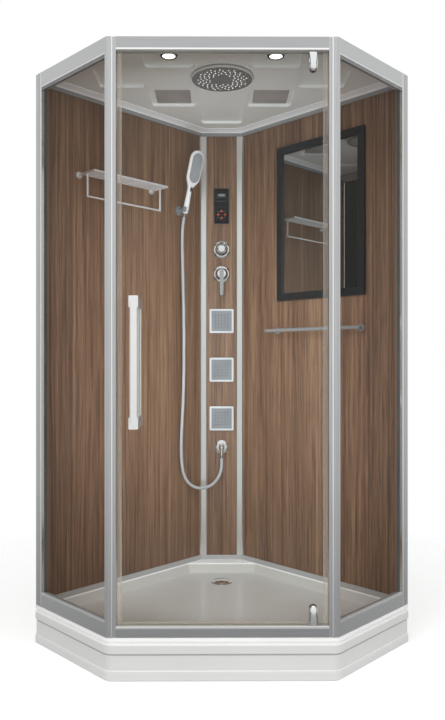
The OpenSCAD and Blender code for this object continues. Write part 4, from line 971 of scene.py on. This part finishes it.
def handset_half(z):
    """Half the hand shower's width at a height: handle, flare, oval head."""
    if z < NECK:
        return smooth_step(z, HANDLE_LOW, NECK, HANDLE_HALF, NECK_HALF)
    if z < FLARE_END:
        t = (z - NECK) / (FLARE_END - NECK)
        end = math.sqrt(HEAD_HALF ** 2 - (HEAD_LOW - FLARE_END) ** 2)
        slope = (HEAD_LOW - FLARE_END) / end * (FLARE_END - NECK)
        return (NECK_HALF * (2 * t ** 3 - 3 * t ** 2 + 1) + end * (3 * t ** 2 - 2 * t ** 3)
                + slope * (t ** 3 - t ** 2))
    past = max(HEAD_LOW - z, z - HEAD_HIGH, 0)
    return math.sqrt(max(HEAD_HALF ** 2 - past ** 2, 0.09))


def handset_ring(z):
    """One section: round in the handle, flat in front and domed behind in the head."""
    def change(low, high, end=130):
        return smooth_step(z, NECK, end, low, high)

    def handle(low, high):
        return smooth_step(z, HANDLE_LOW, NECK, low, high)

    half = handset_half(z)
    top = math.sqrt(max(1 - (max(z - HEAD_HIGH, 0) / HEAD_HALF) ** 2, 0.0))
    middle = handle(0, 1) if z < NECK else change(1, -7)
    front = handle(HANDLE_HALF, 10.2) if z < NECK else change(10.2, 8, 124)
    front *= 0.75 + 0.25 * top
    back = (half if z < NECK else change(NECK_HALF, 14)) * (0.3 + 0.7 * top)
    # powers of the two half ovals: 2 is round, and 6 is nearly square
    square, domed = change(2, 6), change(2, 2.3)
    points = []
    for k in range(HANDSET_STEPS):
        a = 2 * math.pi * k / HANDSET_STEPS
        power = 2 / (square if math.sin(a) < 0 else domed)
        x = half * math.copysign(abs(math.cos(a)) ** power, math.cos(a))
        y = abs(math.sin(a)) ** power * (-front if math.sin(a) < 0 else back)
        points.append(CRADLE @ Vector((x * MM, (middle + y) * MM, z * MM)))
    return points


def handset_shell():
    """Collar, slim handle and long oval head in one smooth skin."""
    bm = bmesh.new()
    collar = ((11, -16), (11, -0.6), (12, 0.2), (12, 12.4), (12.5, 12.8))
    rings = [[CRADLE @ p for p in circle(r * MM, HANDSET_STEPS, z * MM)] for r, z in collar]
    heights = [HANDLE_LOW, 20, 32, 44, 56, 68, 80]
    heights += [NECK + (FLARE_END - NECK) * k / 10 for k in range(11)]
    heights += [142, 150, 165, 180, 195, 208]
    heights += [HEAD_HIGH + HEAD_HALF * math.sin(math.radians(a)) for a in range(0, 90, 7)]
    heights += [HEAD_HIGH + HEAD_HALF]
    capped(bm, rings + [handset_ring(z) for z in heights])
    piece("handset_shell", bm, "handset", [FINISHES["handset_white"]],
          ["handset"], sharp=50)
    # a long bed round the button: x is across the handle and z points to the spray side
    bed = CRADLE @ moved(0, 0, 92 * MM) @ FORWARD
    outer = [Vector(p) for p in outline_rect(10.4 * MM, 24 * MM, 5.2 * MM)]
    eased_edge = [p * 0.93 for p in outer]
    hole = [p.normalized() * 4.4 * MM for p in outer]
    bm = bmesh.new()
    faced(bm, [[bed @ Vector((*p, z * MM)) for p in line] for line, z in (
        (outer, 6.4), (outer, 9.8), (eased_edge, 10.4), (hole, 10.4), (hole, 6.4))])
    piece("button_bed", bm, "handset",
          [moulded("dark grey button bed", "#6d7072", "#626567", 0.4)])


def knob_shade_rings():
    """Dark rings round the diverter's knob and the mixer's cap: a small real joint gap, widened
    into painted shade and a painted reflection of the escutcheon's dark hollow.
    """
    bm = bmesh.new()
    for z, inner in ((DIVERTER_Z, 23.8), (MIXER_Z, 22.4)):
        turned(bm, [(r * MM, h * MM) for r, h in ((inner, 9.02), (inner, 9.5), (28.4, 9.5),
                                                  (28.8, 9.02), (inner, 9.02))],
               ON_TOWER @ moved(0, z, 0), 64)
    piece("knob_shade_rings", bm, "cabin",
          [moulded("dark ring, painted shade", "#1f2122", "#191b1c", 0.5)])


rain_details()
jet_nozzles()
control_prints()
handset_shell()
knob_shade_rings()
spotlights()
clamp_covers()
post_gaskets()


# Studio: a pale floor that fades into a white background, and soft light

def surroundings():
    """Soft grey light; white to the camera, and pale with dark screens to polished surfaces."""
    world = bpy.data.worlds.new("studio")
    scene.world = world
    world.use_nodes = True
    tree = world.node_tree
    tree.nodes.clear()
    way = add(tree, "SeparateXYZ", {0: add(tree, "TexCoord").outputs["Generated"]})
    height = spread(tree, way.outputs["Z"], 0.0, 1.0, -1.0, 1.0)
    level = ramp(tree, height, [(0.0, "#9a9a9a"), (0.40, "#a8a8a8"), (0.55, "#c8c8c8"),
                                (0.75, "#dadada"), (1.0, "#f4f4f4")])
    soft = add(tree, "Background", {"Color": level, "Strength": 0.52})
    pale = ramp(tree, height, [(0.0, "#888888"), (0.31, "#a8a8a8"), (0.43, "#e8e8e8"),
                               (0.60, "#f6f6f6"), (1.0, "#ffffff")])
    across = calc(tree, "ABSOLUTE", way.outputs["X"])
    screens = ramp(tree, across, [(0.0, "#ffffff"), (0.50, "#ffffff"), (0.60, "#5a5a5a"),
                                  (0.72, "#5a5a5a"), (0.80, "#f4f4f4"), (1.0, "#ffffff")])
    # a narrow screen at the left, which the mirror shows
    beside = spread(tree, way.outputs["X"], 1.0, 0.0, -0.90, -0.86)
    window = calc(tree, "MULTIPLY", spread(tree, way.outputs["Y"], 0.0, 1.0, -0.27, -0.25),
                  spread(tree, way.outputs["Y"], 1.0, 0.0, -0.10, -0.08))
    screened = mixed(tree, calc(tree, "MULTIPLY", beside, window), WHITE, linear("#454545"))
    mirrored = mixed(tree, 1.0, mixed(tree, 1.0, pale, screens, "MULTIPLY"), screened, "MULTIPLY")
    shown = add(tree, "Background", {"Color": mirrored})
    white = add(tree, "Background", {"Color": WHITE})
    path = add(tree, "LightPath")
    seen = calc(tree, "MAXIMUM", path.outputs["Is Camera Ray"],
                path.outputs["Is Transmission Ray"])
    lit = overlaid(tree, path.outputs["Is Glossy Ray"], soft, shown)
    both = overlaid(tree, seen, lit, white)
    add(tree, "OutputWorld", {"Surface": both.outputs[0]})


def pale_floor():
    """A floor that takes the shadow and fades out between one and two metres away."""
    bm = bmesh.new()
    bmesh.ops.create_grid(bm, x_segments=1, y_segments=1, size=6)
    mesh = mesh_of("floor", bm)
    floor = bpy.data.objects.new("floor", mesh)
    scene.collection.objects.link(floor)
    material, tree, shader = new_finish("pale floor", Base_Color=linear("#f7f7f7"), Roughness=0.6,
                                        Emission_Color=WHITE, Emission_Strength=0.42)
    away = add(tree, "VectorMath", {0: add(tree, "TexCoord").outputs["Object"]},
               operation="LENGTH").outputs["Value"]
    clear = add(tree, "BsdfTransparent", {"Color": WHITE})
    both = overlaid(tree, spread(tree, away, 0.0, 1.0, 1.0, 2.0), shader, clear)
    tree.links.new(both.outputs[0], tree.nodes["Material Output"].inputs["Surface"])
    mesh.materials.append(material)
    floor.visible_glossy = False


EVEN = (1, 1, 1)
# a little cool, against the warm light that the decor sends back
COOL = (0.93, 0.98, 1.07)
# name, place, width, height, watts, colour, aim, and whether metal and glass mirror it
LAMPS = (("key", (-1.7, -3.2, 2.7), 1.6, 1.6, 34, EVEN, (0, 0.1, 1.0), False),
         ("fill", (2.6, -2.6, 1.7), 1.8, 1.8, 22, EVEN, (0, 0.1, 1.0), False),
         ("front", (0.0, -3.6, 1.2), 2.2, 2.2, 16, EVEN, (0, 0.2, 1.2), False),
         ("top", (0.0, -0.4, 4.2), 2.4, 2.4, 26, EVEN, (0, 0, 1.0), True),
         ("inside", (-0.1, -0.30, 1.08), 0.55, 1.3, 7.1, COOL, (0.06, 0.5, 1.1), False))


def light_up():
    """The soft lamps of the studio."""
    for name, place, width, tall, power, colour, target, mirrored in LAMPS:
        data = bpy.data.lights.new(name, "AREA")
        data.shape = "RECTANGLE"
        data.size, data.size_y = width, tall
        data.energy = power
        data.color = colour
        lamp = bpy.data.objects.new(name, data)
        lamp.location = place
        lamp.rotation_euler = (Vector(target) - Vector(place)).to_track_quat("-Z", "Y").to_euler()
        lamp.visible_glossy = mirrored
        lamp.visible_camera = False
        scene.collection.objects.link(lamp)


scene.view_settings.view_transform = "Standard"
scene.view_settings.look = "None"
surroundings()
pale_floor()
light_up()
